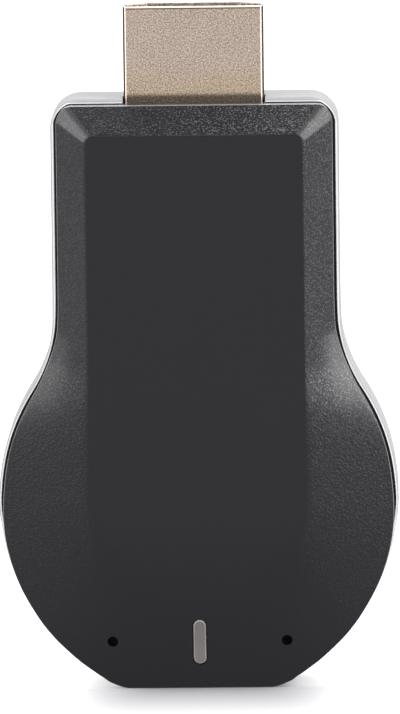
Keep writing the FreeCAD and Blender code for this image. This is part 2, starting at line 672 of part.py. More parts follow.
def make_front_cover():
    cover = new_body("front_cover")
    make_outer_form(cover)
    hollow = make_hollow()
    doc.recompute()
    take = cover.newObject("PartDesign::Boolean", "hollow_out")
    take.addObject(hollow)
    take.Type = "Cut"
    doc.recompute()
    cover.Tip = take
    lip = front_sketch(cover, "lip_outline", f"{PARTING} + lip_reach")
    for move in ("0", "lip_width"):
        inset = f"({LIP_OUTSIDE} + {move})"
        paddle(lip, inset, f"body_height - {inset}", inset, f"{REAR_INNER_SHOULDER} - fit_gap - {move}")
    pad(cover, "lip", lip, "lip_reach + 0.6 * rim_height")
    clear = "(plug_width / 2 + collar_wall + 2 * fit_gap)"
    for name, high, depth in (("lip_gap", "body_height", "lip_reach"),
                              ("collar_room", "body_height - wall", "lip_reach + 0.6 * rim_height")):
        room = front_sketch(cover, name, f"{PARTING} + lip_reach")
        rectangle(room, f"-{clear}", clear, "body_height - 3 * wall", high)
        pocket(cover, name + "_cut", room, depth, backwards=True)
    hooks = pad(cover, "hooks", snap_profile(cover, "hook_outline", "0"), "hook_length")
    doc.recompute()
    pattern(cover, "hook_pairs", hooks, "Z_Axis", "hook_spacing", "2")
    posts = post_squares(cover, "post_ends", BOARD_FRONT)
    pad(cover, "posts", posts, f"{BOARD_FRONT} - {FRONT} - 0.5 * wall")
    sockets = post_circles(cover, "peg_sockets", BOARD_FRONT, "peg_radius + fit_gap")
    pocket(cover, "peg_sockets_cut", sockets, "peg_reach + fit_gap", backwards=True)
    rib_end = f"{PLUG_MID} - plug_height / 2 - fit_gap"
    pad(cover, "collar_rib", collar_rib(cover, "rib_outline", rib_end), f"{rib_end} - {FRONT} - 0.5 * wall")
    holes = front_sketch(cover, "openings", FRONT)
    stadium(holes, "0", "bar_centre", "bar_width + 2 * fine_gap", "bar_height + 2 * fine_gap")
    circle(holes, "pinhole_half", "pinhole_centre", "pinhole_radius")
    circle(holes, "-pinhole_half", "pinhole_centre", "pinhole_radius")
    pocket(cover, "openings_cut", holes, "front_depth")
    node("front_cover", cover)


def make_rear_cover():
    cover = new_body("rear_cover")
    outside = front_sketch(cover, "outside", PARTING)
    paddle(outside, "-rear_overhang", "body_height + rear_overhang", "0", "rear_shoulder")
    pad(cover, "block", outside, "rear_depth - back_round", backwards=True)
    rounds = []
    for step in range(BACK_STEPS + 1):
        turn = f"{90 * step / BACK_STEPS} deg"
        inset = f"back_round * (1 - cos({turn}))"
        rounds.append(front_sketch(cover, f"round{step}", f"{BACK} - back_round * (1 - sin({turn}))"))
        paddle(rounds[-1], f"{inset} - rear_overhang", f"body_height + rear_overhang - {inset}", inset,
               f"rear_shoulder - {inset}")
    back = cover.newObject("PartDesign::AdditiveLoft", "back_edge")
    back.Profile = rounds[0]
    back.Sections = rounds[1:]
    back.Ruled = True
    inside = front_sketch(cover, "inside", PARTING)
    inset = "(wall - rear_overhang)"
    paddle(inside, inset, f"body_height - {inset}", inset, REAR_INNER_SHOULDER)
    pocket(cover, "hollow", inside, "rear_depth - wall")
    catches = pocket(cover, "catches", snap_profile(cover, "catch_outline", "fit_gap"),
                     "hook_length + 2 * fit_gap", backwards=True)
    pattern(cover, "catch_pairs", catches, "Z_Axis", "hook_spacing", "2")
    posts = post_squares(cover, "post_ends", BOARD_REAR)
    pad(cover, "posts", posts, f"{BACK} - {BOARD_REAR} - 0.5 * wall", backwards=True)
    pegs = post_circles(cover, "peg_rings", f"{BOARD_REAR} + peg_radius", "peg_radius")
    pad(cover, "pegs", pegs, "peg_radius + board + peg_reach")
    rib_end = f"({PLUG_MID} + plug_height / 2 + fit_gap)"
    pad(cover, "collar_rib", collar_rib(cover, "rib_outline", rib_end), f"{BACK} - {rib_end} - 0.5 * wall",
        backwards=True)
    plug = sketch(cover, "plug_opening", "XY_Plane", "body_height - 2 * wall")
    plug_outline(plug, "fit_gap", f"{PARTING} - cut_past")
    pocket(cover, "plug_cut", plug, "4 * wall", backwards=True)
    socket = sketch(cover, "socket_opening", "XY_Plane", "-cut_past")
    usb_outline(socket, "fit_gap")
    pocket(cover, "socket_cut", socket, "wall + 1.5 * cut_past", backwards=True)
    push = sketch(cover, "button_opening", "YZ_Plane", f"-{REAR_SIDE} + 1.2 * wall")
    stadium(push, BUTTON_MID, BUTTON_UP, "button_width + 2 * fit_gap", "button_length + 2 * fit_gap")
    pocket(cover, "button_cut", push, "2 * wall")
    node("rear_cover", cover)


# The video plug

PLUG_SLANT = "atan((plug_width - plug_narrow) / 2 / (plug_height - plug_side))"


def plug_outline(sk, grow, wide_face=None):
    """The plug's profile in X and Y, moved out evenly by grow: wide to the front, slanted corners behind."""
    half = f"(plug_width / 2 + ({grow}))"
    narrow = f"(plug_narrow / 2 + ({grow}) * tan((90 deg - {PLUG_SLANT}) / 2))"
    front = wide_face or f"({PLUG_MID} - plug_height / 2 - ({grow}))"
    bend = f"({PLUG_MID} - plug_height / 2 + plug_side + ({grow}) * tan({PLUG_SLANT} / 2))"
    rear = f"({PLUG_MID} + plug_height / 2 + ({grow}))"
    polygon(sk, [(f"-{half}", front), (half, front), (half, bend), (narrow, rear), (f"-{narrow}", rear),
                 (f"-{half}", bend)])


def contact_row(name, hand, count):
    """A row of the plug's bent contacts: a tail on the board, a crank, and a bow into the slot."""
    row = new_body(name)
    row.AllowCompound = True
    strip = sketch(row, name + "_strip", "YZ_Plane", f"-({count} - 1) / 2 * contact_pitch")
    end = f"{MOUTH} - mouth_depth - contact_end"
    bow = [f"({MOUTH} - mouth_depth - slot_depth + bow_foot)"]
    for length in ("bow_slope", "bow_crest", "bow_slope"):
        bow.append(f"({bow[-1]} + {length})")
    outer = "slot_half + contact_sheet"
    tail = "board / 2 + contact_sheet"
    polygon(strip, [(f"{PLUG_MID} + ({hand}) * ({depth})", height) for depth, height in (
        (outer, end),
        (outer, f"{BOARD_TOP} + 3 * contact_sheet"),
        (tail, f"{BOARD_TOP} + contact_sheet"),
        (tail, f"{BOARD_TOP} - tail_length"),
        ("board / 2", f"{BOARD_TOP} - tail_length"),
        ("board / 2", f"{BOARD_TOP} + 1.5 * contact_sheet"),
        ("slot_half", f"{BOARD_TOP} + 3.5 * contact_sheet"),
        ("slot_half", bow[0]),
        ("slot_half - contact_bow", bow[1]),
        ("slot_half - contact_bow", bow[2]),
        ("slot_half", bow[3]),
        ("slot_half", end),
    )])
    one = pad(row, name + "_one", strip, "contact_width", both_ways=True)
    doc.recompute()
    pattern(row, name + "_row", one, "X_Axis", f"({count} - 1) * contact_pitch", count)
    return node(name, row)


def make_plug():
    shell = new_body("hdmi_shell")
    outside = sketch(shell, "outside", "XY_Plane", SHELL_FOOT)
    plug_outline(outside, "0")
    pad(shell, "sleeve", outside, "plug_reach + plug_hold")
    fillet(shell, "long_edges", lambda edge: along(edge, "z"), "plug_round")
    inside = sketch(shell, "inside", "XY_Plane", SHELL_FOOT)
    plug_outline(inside, "-shell_sheet")
    pocket(shell, "bore", inside, "plug_reach + plug_hold", backwards=True)
    node("hdmi_shell", shell)

    rows = [contact_row("hdmi_front_contacts", "-1", "front_contacts")]
    rows.append(contact_row("hdmi_rear_contacts", "1", "rear_contacts"))

    block = new_body("insulator_block")
    foot = f"({BOARD_TOP} + 4 * contact_sheet)"
    profile = sketch(block, "insulator_profile", "XY_Plane", foot)
    plug_outline(profile, "-shell_sheet - fine_gap")
    pad(block, "insulator_body", profile, f"{MOUTH} - mouth_depth - {foot}")
    slot = sketch(block, "insulator_slot", "XY_Plane", f"{MOUTH} - mouth_depth")
    rectangle(slot, "-slot_width / 2", "slot_width / 2", f"{PLUG_MID} - slot_half", f"{PLUG_MID} + slot_half")
    pocket(block, "insulator_slot_cut", slot, "slot_depth")
    insulator = block
    for row in rows:
        cut = doc.addObject("Part::Cut", "insulator_less_" + row.Name)
        cut.Base = insulator
        cut.Tool = row
        insulator = cut
    node("hdmi_insulator", insulator)

    collar = new_body("plug_collar")
    ring = sketch(collar, "collar_outside", "XY_Plane", COLLAR_TOP)
    plug_outline(ring, "collar_wall")
    pad(collar, "collar_ring", ring, "collar_height", backwards=True)
    bore = sketch(collar, "collar_inside", "XY_Plane", COLLAR_TOP)
    plug_outline(bore, "fine_gap")
    pocket(collar, "collar_bore", bore, "collar_height")
    node("plug_collar", collar)


# The board and what is soldered to it

def make_board():
    board = new_body("circuit_board")
    outline = front_sketch(board, "board_outline", BOARD_FRONT)
    paddle(outline, BOARD_INSET, BOARD_TOP, "board_foot", "peg_radius")
    for across, height in post_places():
        circle(outline, across, height, "peg_radius + fit_gap")
    pad(board, "board_sheet", outline, "board", backwards=True)
    node("circuit_board", board)


def block(name, across, up, wide, tall, deep, level, to_front):
    """A plain box on the board: its middle in X and Z, its sizes, and the face it sits on."""
    box = doc.addObject("Part::Box", name)
    bind(box, "Length", wide)
    bind(box, "Width", deep)
    bind(box, "Height", tall)
    bind(box, "Placement.Base.x", f"({across}) - ({wide}) / 2")
    bind(box, "Placement.Base.y", f"({level}) - ({deep})" if to_front else level)
    bind(box, "Placement.Base.z", f"({up}) - ({tall}) / 2")
    return box


def chip(name, across, up, wide, tall, deep, level, to_front, bevel):
    """A moulded chip: a box with its outer edges bevelled."""
    box = block(name + "_block", across, up, wide, tall, deep, level, to_front)
    doc.recompute()
    face = box.Shape.BoundBox.YMin if to_front else box.Shape.BoundBox.YMax
    cut = doc.addObject("Part::Chamfer", name)
    cut.Base = box
    rim = []
    for index, edge in enumerate(box.Shape.Edges, start=1):
        if abs(edge.BoundBox.YMin - face) < NEAR and abs(edge.BoundBox.YMax - face) < NEAR:
            rim.append((index, value(bevel), value(bevel)))
    cut.Edges = rim
    return node(name, cut)


def group(name, parts):
    made = doc.addObject("Part::Compound", name)
    made.Links = parts
    return node(name, made)


def make_front_parts():
    on = BOARD_FRONT
    processor_face = f"({on} - processor_depth)"
    pad_face = f"({processor_face} - pad_depth)"
    chip("processor_chip", "0", "processor_centre", "processor_side", "processor_side", "processor_depth", on,
         True, "0.15 * processor_depth")
    node("thermal_pad", block("thermal_pad", "0", "processor_centre", "pad_side", "pad_side", "pad_depth",
                              processor_face, True))
    spreader = new_body("heat_spreader")
    tray = front_sketch(spreader, "spreader_outline", pad_face)
    left, right = "-spreader_width / 2", "spreader_width / 2"
    low, high = "processor_centre - spreader_height / 2", "processor_centre + spreader_height / 2"
    rectangle(tray, left, right, low, high)
    pad(spreader, "spreader_plate", tray, "spreader_sheet + spreader_edge")
    dish = front_sketch(spreader, "spreader_dish", f"{pad_face} - spreader_sheet - spreader_edge")
    rectangle(dish, f"{left} + spreader_sheet", f"{right} - spreader_sheet", f"{low} - cut_past",
              f"{high} + cut_past")
    pocket(spreader, "spreader_fold", dish, "spreader_edge")
    node("heat_spreader", spreader)
    chip("memory_chip", "0", MEMORY_UP, "memory_width", "memory_height", "memory_depth", on, True,
         "0.15 * memory_depth")
    node("wifi_board", block("wifi_board", "0", "radio_centre", "radio_side", "radio_side", "radio_depth", on,
                             True))
    can = new_body("wifi_can")
    radio_face = f"({on} - radio_depth)"
    lid = front_sketch(can, "can_outline", radio_face)
    half = "can_side / 2"
    rectangle(lid, f"-{half}", half, f"radio_centre - {half}", f"radio_centre + {half}")
    pad(can, "can_block", lid, "can_depth")
    lid_level = value(f"{radio_face} - can_depth")
    fillet(can, "can_bends", lambda edge: edge.BoundBox.YMax < lid_level + NEAR, "can_sheet")
    space = front_sketch(can, "can_space", radio_face)
    room = "(can_side / 2 - can_sheet)"
    rectangle(space, f"-{room}", room, f"radio_centre - {room}", f"radio_centre + {room}")
    pocket(can, "can_hollow", space, "can_depth - can_sheet", backwards=True)
    node("wifi_can", can)
    antennas = []
    for hand in ("-", ""):
        antennas.append(block("antenna" + str(len(antennas)), f"{hand}antenna_half", "antenna_centre",
                              "antenna_width", "antenna_height", "antenna_depth", on, True))
    group("chip_antennas", antennas)
    chip("crystal_can", "-crystal_off", "processor_centre", "crystal_width", "crystal_height",
         "crystal_depth", on, True, "0.2 * crystal_depth")
    node("status_led", block("status_led", "0", "bar_centre", "lamp_width", "lamp_height", "lamp_depth", on,
                             True))


def make_rear_parts():
    on = BOARD_REAR
    chip("flash_chip", "0", "flash_centre", "flash_width", "flash_height", "flash_depth", on, False,
         "0.15 * flash_depth")
    chip("power_inductor", "inductor_off", "power_centre", "inductor_side", "inductor_side", "inductor_depth",
         on, False, "0.1 * inductor_side")
    chip("voltage_regulator", "regulator_off", "power_centre", "regulator_side", "regulator_side",
         "regulator_depth", on, False, "0.2 * regulator_depth")
    chip("bulk_capacitor", "-bulk_off", "power_centre", "bulk_width", "bulk_height", "bulk_depth", on, False,
         "0.15 * bulk_depth")


def make_small_parts():
    capacitors = []
    resistors = []
    beside = "(processor_side / 2 + 1.5 * small_width)"
    for step in range(4):
        up = f"processor_centre + {step - 1.5} * small_pitch"
        capacitors.append(block(f"capacitor_side{step}", beside, up, "small_width", "small_length",
                                "small_depth", BOARD_FRONT, True))
    for step in range(4):
        across = f"{step - 1.5} * small_pitch"
        above = "flash_centre + flash_height / 2 + small_pitch"
        below = "flash_centre - flash_height / 2 - small_pitch"
        capacitors.append(block(f"capacitor_above{step}", across, above, "small_length", "small_width",
                                "small_depth", BOARD_REAR, False))
        resistors.append(block(f"resistor_below{step}", across, below, "small_length", "small_width",
                               "resistor_depth", BOARD_REAR, False))
    for hand in ("-", ""):
        across = f"{hand}(lamp_width / 2 + 2 * small_length)"
        resistors.append(block(f"resistor_lamp{len(resistors)}", across, "bar_centre", "small_length",
                               "small_width", "resistor_depth", BOARD_FRONT, True))
    group("ceramic_capacitors", capacitors)
    group("chip_resistors", resistors)


# The light bar

def make_light_guide():
    guide = new_body("light_guide")
    back = f"({BOARD_FRONT} - lamp_depth - fit_gap)"
    bar = front_sketch(guide, "bar_outline", back)
    stadium(bar, "0", "bar_centre", "bar_width", "bar_height")
    pad(guide, "bar_pad", bar, f"{back} - {FRONT}")
    over = crown_profile(guide, "bar_crown", CROWN_RADIUS, "bar_centre - bar_height",
                         "bar_centre + bar_height", FRONT)
    pocket(guide, "bar_face", over, "4 * bar_width", both_ways=True)
    flange = front_sketch(guide, "flange_outline", f"{PARTING} - 0.2 * rim_height + bar_flange_depth")
    stadium(flange, "0", "bar_centre", "bar_width + 2 * bar_flange", "bar_height + 2 * bar_flange")
    pad(guide, "flange", flange, "bar_flange_depth")
    node("light_guide", guide)


# The power socket in the chin

def usb_outline(sk, grow):
    """The socket's profile in X and Y: its bevelled corners are next to the board."""
    half = f"(usb_width / 2 + ({grow}))"
    narrow = f"(usb_width / 2 - usb_chamfer + ({grow}) * tan(22.5))"
    near = f"({BOARD_REAR} - ({grow}))"
    bend = f"({BOARD_REAR} + usb_chamfer - ({grow}) * tan(22.5))"
    far = f"({BOARD_REAR} + usb_height + ({grow}))"
    polygon(sk, [(f"-{narrow}", near), (narrow, near), (half, bend), (half, far), (f"-{half}", far),
                 (f"-{half}", bend)])


def make_power_socket():
    top = "(usb_recess + usb_length)"
    shell = new_body("micro_usb_shell")
    outside = sketch(shell, "usb_outside", "XY_Plane", "usb_recess")
    usb_outline(outside, "0")
    pad(shell, "usb_sleeve", outside, "usb_length")
    inside = sketch(shell, "usb_inside", "XY_Plane", "usb_recess")
    usb_outline(inside, "-usb_sheet")
    pocket(shell, "usb_bore", inside, "usb_length", backwards=True)
    node("micro_usb_shell", shell)

    middle = f"({BOARD_REAR} + 0.55 * usb_height)"
    pins = new_body("micro_usb_contacts")
    pins.AllowCompound = True
    strip = sketch(pins, "pin_strip", "YZ_Plane", "-(pins - 1) / 2 * pin_pitch")
    low = "usb_recess + tongue_mouth + 2 * pin_sheet"
    face = f"{middle} + tongue_depth / 2"
    rectangle(strip, face, f"{face} + pin_sheet", low, f"{top} - 2 * pin_sheet")
    one = pad(pins, "pin_one", strip, "pin_width", both_ways=True)
    doc.recompute()
    pattern(pins, "pin_row", one, "X_Axis", "(pins - 1) * pin_pitch", "pins")
    node("micro_usb_contacts", pins)

    tongue = new_body("tongue_block")
    back = sketch(tongue, "tongue_back", "XY_Plane", f"{top} - usb_back")
    usb_outline(back, "-usb_sheet")
    pad(tongue, "tongue_back_pad", back, "usb_back")
    blade = sketch(tongue, "tongue_blade", "XY_Plane", "usb_recess + tongue_mouth")
    rectangle(blade, "-tongue_width / 2", "tongue_width / 2", f"{middle} - tongue_depth / 2",
              f"{middle} + tongue_depth / 2")
    pad(tongue, "tongue_blade_pad", blade, "usb_length - tongue_mouth - 0.5 * usb_back")
    cut = doc.addObject("Part::Cut", "tongue_less_pins")
    cut.Base = tongue
    cut.Tool = pins
    node("micro_usb_tongue", cut)


# The function button and its switch

BUTTON_MID = f"({BOARD_REAR} + button_depth)"
BUTTON_FACE = f"({REAR_SIDE} - button_recess)"
FLANGE_OUT = f"({REAR_SIDE} - wall - fine_gap)"
FLANGE_IN = f"({FLANGE_OUT} - button_flange)"
NUB_TIP = f"({FLANGE_IN} - nub_length)"
PLUNGER_TIP = f"({NUB_TIP} - fine_gap)"
SWITCH_FACE = f"({PLUNGER_TIP} - plunger_reach)"


def make_button():
    button = new_body("function_button")
    key = sketch(button, "key_outline", "YZ_Plane", f"-{BUTTON_FACE}")
    stadium(key, BUTTON_MID, BUTTON_UP, "button_width", "button_length")
    pad(button, "key", key, f"{BUTTON_FACE} - {FLANGE_IN}")
    flange = sketch(button, "key_flange", "YZ_Plane", f"-{FLANGE_OUT}")
    stadium(flange, BUTTON_MID, BUTTON_UP, "button_width + 2 * flange_step",
            "button_length + 4 * flange_step")
    pad(button, "flange", flange, "button_flange")
    nub = sketch(button, "key_nub", "YZ_Plane", f"-{FLANGE_IN}")
    circle(nub, BUTTON_MID, BUTTON_UP, "nub_width / 2")
    pad(button, "nub", nub, "nub_length")
    node("function_button", button)


def side_box(name, outer, inner, middle, deep, tall):
    """A box beside the left wall, by the X of its two faces measured from the middle."""
    box = doc.addObject("Part::Box", name)
    bind(box, "Length", f"{outer} - {inner}")
    bind(box, "Width", deep)
    bind(box, "Height", tall)
    bind(box, "Placement.Base.x", f"-{outer}")
    bind(box, "Placement.Base.y", f"{middle} - ({deep}) / 2")
    bind(box, "Placement.Base.z", f"{BUTTON_UP} - ({tall}) / 2")
    return box


def make_switch():
    middle = f"({BOARD_REAR} + switch_depth / 2)"
    inner = f"({SWITCH_FACE} - switch_width)"
    body = side_box("switch_block", SWITCH_FACE, inner, middle, "switch_depth", "switch_length")
    room = side_box("switch_room", f"({SWITCH_FACE} + fit_gap)", f"({SWITCH_FACE} - plunger_pocket)",
                    BUTTON_MID, "plunger_width + 2 * fine_gap", "plunger_length + 2 * fine_gap")
    hollow = doc.addObject("Part::Cut", "switch_body")
    hollow.Base = body
    hollow.Tool = room
    node("switch_body", hollow)
    node("switch_plunger", side_box("switch_plunger", PLUNGER_TIP, f"({SWITCH_FACE} - plunger_hold)",
                                    BUTTON_MID, "plunger_width", "plunger_length"))
    plate_mid = f"({BOARD_REAR} + (switch_depth + switch_sheet) / 2)"
    plate = side_box("frame_plate", SWITCH_FACE, inner, plate_mid, "switch_depth + switch_sheet",
                     "switch_length + 2 * switch_sheet")
    core = side_box("frame_core", SWITCH_FACE, inner, middle, "switch_depth", "switch_length")
    frame = doc.addObject("Part::Cut", "switch_frame")
    frame.Base = plate
    frame.Tool = core
    node("switch_frame", frame)


make_front_cover()
make_rear_cover()
make_plug()
make_board()
make_front_parts()
make_rear_parts()
make_small_parts()
make_light_guide()
make_power_socket()
make_button()
make_switch()
doc.recompute()

for thing in doc.Objects:
    if "Invalid" in thing.State or "Error" in thing.State:
        raise RuntimeError(f"{thing.Name} failed: {thing.State}")
for name, thing in nodes.items():
    if thing.Shape.isNull() or not thing.Shape.isValid() or not thing.Shape.Solids:
        raise RuntimeError(f"{name} has no valid shape")

os.makedirs("parts", exist_ok=True)
for name, thing in nodes.items():
    thing.Shape.exportStep(f"parts/{name}.step")
    print(name, len(thing.Shape.Solids), round(thing.Shape.Volume, 3))
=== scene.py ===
"""Looks of the wireless display adapter: smooth covers, blasted plug, light bar, push button and stage."""
import math

import bmesh
import bpy
from bpy.props import FloatProperty, FloatVectorProperty, IntProperty, PointerProperty
from bpy.types import Operator, Panel, PropertyGroup
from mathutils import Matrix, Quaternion, Vector


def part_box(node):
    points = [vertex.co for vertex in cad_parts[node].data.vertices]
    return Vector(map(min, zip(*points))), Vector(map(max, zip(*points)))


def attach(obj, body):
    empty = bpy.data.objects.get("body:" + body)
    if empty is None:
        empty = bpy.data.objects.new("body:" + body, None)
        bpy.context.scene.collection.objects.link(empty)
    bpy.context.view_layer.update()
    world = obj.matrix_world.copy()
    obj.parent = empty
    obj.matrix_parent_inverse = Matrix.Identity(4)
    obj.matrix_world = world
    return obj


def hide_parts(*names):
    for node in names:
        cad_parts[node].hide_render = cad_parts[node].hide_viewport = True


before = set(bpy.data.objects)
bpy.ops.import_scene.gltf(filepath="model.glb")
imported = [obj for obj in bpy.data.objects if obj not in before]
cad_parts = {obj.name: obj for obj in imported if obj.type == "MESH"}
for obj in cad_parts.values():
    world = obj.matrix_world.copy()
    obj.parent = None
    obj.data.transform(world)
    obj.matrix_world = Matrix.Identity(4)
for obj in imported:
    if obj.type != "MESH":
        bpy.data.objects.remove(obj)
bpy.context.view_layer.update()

bl_info = {
    "name": "Display Adapter Looks",
    "version": (1, 0, 0),
    "blender": (4, 5, 0),
    "location": "View3D > Sidebar > Adapter",
    "description": "Builds the visible pieces of a wireless display adapter round its packed frame",
    "category": "Object",
}

MM = 0.001
FRONT_LOW, FRONT_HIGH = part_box("front_cover")
REAR_LOW, REAR_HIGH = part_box("rear_cover")
PLUG_LOW, PLUG_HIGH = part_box("hdmi_shell")
BAR_LOW, BAR_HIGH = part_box("light_guide")
KEY_LOW, KEY_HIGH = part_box("function_button")
POWER_LOW, POWER_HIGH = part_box("micro_usb_shell")
PARTING = REAR_LOW.y
BAR_MIDDLE = (BAR_LOW.z + BAR_HIGH.z) / 2 + 0.1 * MM
KEY_MIDDLE = ((KEY_LOW.y + KEY_HIGH.y) / 2, (KEY_LOW.z + KEY_HIGH.z) / 2)
OVERHANG = REAR_HIGH.x - FRONT_HIGH.x  # how far the rear cover stands out beside the front one


def length(name, default, description):
    """A size in the scene's units, with a default in millimetres."""
    return FloatProperty(name=name, description=description, default=default * MM, subtype="DISTANCE",
                         unit="LENGTH", precision=5)


def colour(name, default, description):
    return FloatVectorProperty(name=name, description=description, default=default, subtype="COLOR", size=3,
                               min=0.0, max=1.0)


def angle(name, default, description):
    return FloatProperty(name=name, description=description, default=math.radians(default), subtype="ANGLE",
                         unit="ROTATION")


class AdapterForm(PropertyGroup):
    """Sizes of the two covers."""
    neck_half: length("Neck half width", 13.86, "Half width of the front cover's neck")
    neck_sweep: length("Neck sweep", 12.65, "Radius of the hollow curve from neck to head")
    head_centre: length("Head centre", 18.5, "Height of the round head's centre")
    shoulder: length("Shoulder", 1.8, "Corner radius of the front cover's shoulder")
    rear_shoulder: length("Rear shoulder", 2.9, "Corner radius of the rear cover's shoulder")
    rear_rise: length("Rear rise", 0.16, "How much higher the rear cover's top is than in the frame")
    rear_edge: length("Rear edge", 0.26, "Round on the rear cover's front edge")
    chin: length("Chin", 4.6, "Corner radius of the chin")
    flank: angle("Flank", 45.0, "Slope of the straight flanks beside the chin")
    rim: length("Rim", 1.575, "Parting plane to the facets' outer edge")
    edge: length("Edge", 0.12, "Round on the front cover's rim")
    seam: length("Seam", 0.21, "Shadow gap round the front cover")
    seam_depth: length("Seam depth", 1.0, "Depth of that gap")
    plateau_half: length("Plateau half width", 10.8, "Half width of the raised plateau")
    plateau_gap: length("Plateau gap", 2.7, "Plateau's top crease below the shoulder")
    plateau_corner: length("Plateau corner", 0.85, "Corner radius of the plateau's top")
    plateau_turn: length("Plateau turn", 8.0, "Radius where the plateau turns in towards the chin")
    turn_start: length("Turn start", 19.9, "Height where that turn starts")
    tip: length("Tip", 6.6, "Height of the plateau's tip")
    tip_round: length("Tip round", 1.2, "Corner radius of the tip")
    crown_start: length("Crown start", 17.0, "Height below which the front face curves back")
    crown_foot: length("Crown foot", 1.4, "Parting plane to the curved face at the chin")
    crease: length("Crease", 0.2, "Softness of the creases round the plateau")
    wall: length("Wall", 1.4, "Wall of both covers")
    lip: length("Lip", 1.0, "Reach of the front cover's lip")
    back_round: length("Back round", 0.8, "Round on the rear cover's back edge")


class AdapterDetails(PropertyGroup):
    """Sizes of the small pieces."""
    pinhole: length("Pinhole", 0.53, "Radius of the pinholes")
    pinhole_half: length("Pinhole half", 8.64, "Pinholes from the middle")
    pinhole_height: length("Pinhole height", 4.91, "Height of the pinholes")
    bar_width: length("Bar width", 1.26, "Width of the light bar")
    bar_height: length("Bar height", 4.54, "Height of the light bar")
    bar_bevel: length("Bar bevel", 0.16, "Bevel round the light bar's face")
    fit: length("Fit", 0.1, "Gap round the light bar and the button")
    key_wide: length("Button width", 1.5, "Width of the function button")
    key_tall: length("Button length", 4.6, "Length of the function button")
    sheet: length("Sheet", 0.3, "Sheet of the plug's shell")
    plug_narrow: length("Plug narrow", 9.5, "Narrow side of the plug's shell")
    plug_side: length("Plug side", 2.5, "Straight part of the plug's short sides")
    plug_round: length("Plug round", 0.45, "Round on the plug's long edges")
    power_sheet: length("Power sheet", 0.25, "Sheet of the power socket's shell")
    power_bevel: length("Power bevel", 0.8, "Bevelled corners of the power socket")
    front_contacts: IntProperty(name="Front contacts", description="Contacts in the plug's front row", default=10)
    rear_contacts: IntProperty(name="Rear contacts", description="Contacts in the plug's rear row", default=9)
    power_contacts: IntProperty(name="Power contacts", description="Contacts in the power socket", default=5)
    pitch: length("Pitch", 1.0, "Spacing of the plug's contacts")
    power_pitch: length("Power pitch", 0.65, "Spacing of the power socket's contacts")


class AdapterFinish(PropertyGroup):
    """Colours of what shows."""
    charcoal: colour("Charcoal", (0.0050, 0.0046, 0.0074), "Front cover")
    pale: colour("Pale", (0.41, 0.41, 0.421), "Rear cover")
    blasted: colour("Blasted metal", (0.345, 0.282, 0.237), "Video plug's shell")
    bar: colour("Light bar", (0.172, 0.160, 0.153), "Light bar")
    key: colour("Button", (0.022, 0.022, 0.025), "Function button")


class AdapterStage(PropertyGroup):
    """The camera, as the photograph shows the object."""
    azimuth: angle("Azimuth", 1.2, "Camera's turn to the object's right")
    elevation: angle("Elevation", 7.1, "Camera's height above the horizon")
    lean: angle("Lean", 0.71, "How far the object leans to the left in the picture")
    distance: length("Distance", 1000.0, "Camera to the object's middle")
    aim_across: length("Aim across", 0.26, "Point aimed at, across")
    aim_up: length("Aim up", 32.73, "Point aimed at, height")
    lens: FloatProperty(name="Lens", description="Focal length of the long lens", default=508.1, unit="CAMERA")


def form():
    return bpy.context.scene.adapter_form


def details():
    return bpy.context.scene.adapter_details


def finish_colours():
    return bpy.context.scene.adapter_finish


# Shader nodes

class Wire:
    """A node's output that Python's own operators add Math nodes to."""

    def __init__(self, paint, socket):
        self.paint = paint
        self.socket = socket

    def math(self, operation, *values):
        return self.paint.node("ShaderNodeMath", {"operation": operation}, dict(enumerate(values)))

    def __add__(self, other):
        return self.math("ADD", self, other)

    __radd__ = __add__

    def __sub__(self, other):
        return self.math("SUBTRACT", self, other)

    def __rsub__(self, other):
        return self.math("SUBTRACT", other, self)

    def __mul__(self, other):
        return self.math("MULTIPLY", self, other)

    __rmul__ = __mul__

    def __pow__(self, other):
        return self.math("POWER", self, other)

    def size(self):
        return self.math("ABSOLUTE", self)

    def most(self, other):
        return self.math("MAXIMUM", self, other)

    def least(self, other):
        return self.math("MINIMUM", self, other)

    def ramp(self, low, high, first=0.0, last=1.0):
        """Runs smoothly from first to last as the value goes from low to high."""
        return self.paint.node("ShaderNodeMapRange", {"interpolation_type": "SMOOTHSTEP"},
                               {"Value": self, "From Min": low, "From Max": high, "To Min": first, "To Max": last})


class Tree:
    """A node tree, with a short call that adds a node."""

    def __init__(self, tree):
        self.tree = tree

    def node(self, kind, settings, inputs, output=0):
        """Adds a node, its settings first, and gives one of its outputs."""
        made = self.tree.nodes.new(kind)
        for name, value in settings.items():
            setattr(made, name, value)
        for name, value in inputs.items():
            if isinstance(value, Wire):
                self.tree.links.new(value.socket, made.inputs[name])
            else:
                made.inputs[name].default_value = value
        return Wire(self, made.outputs[output])


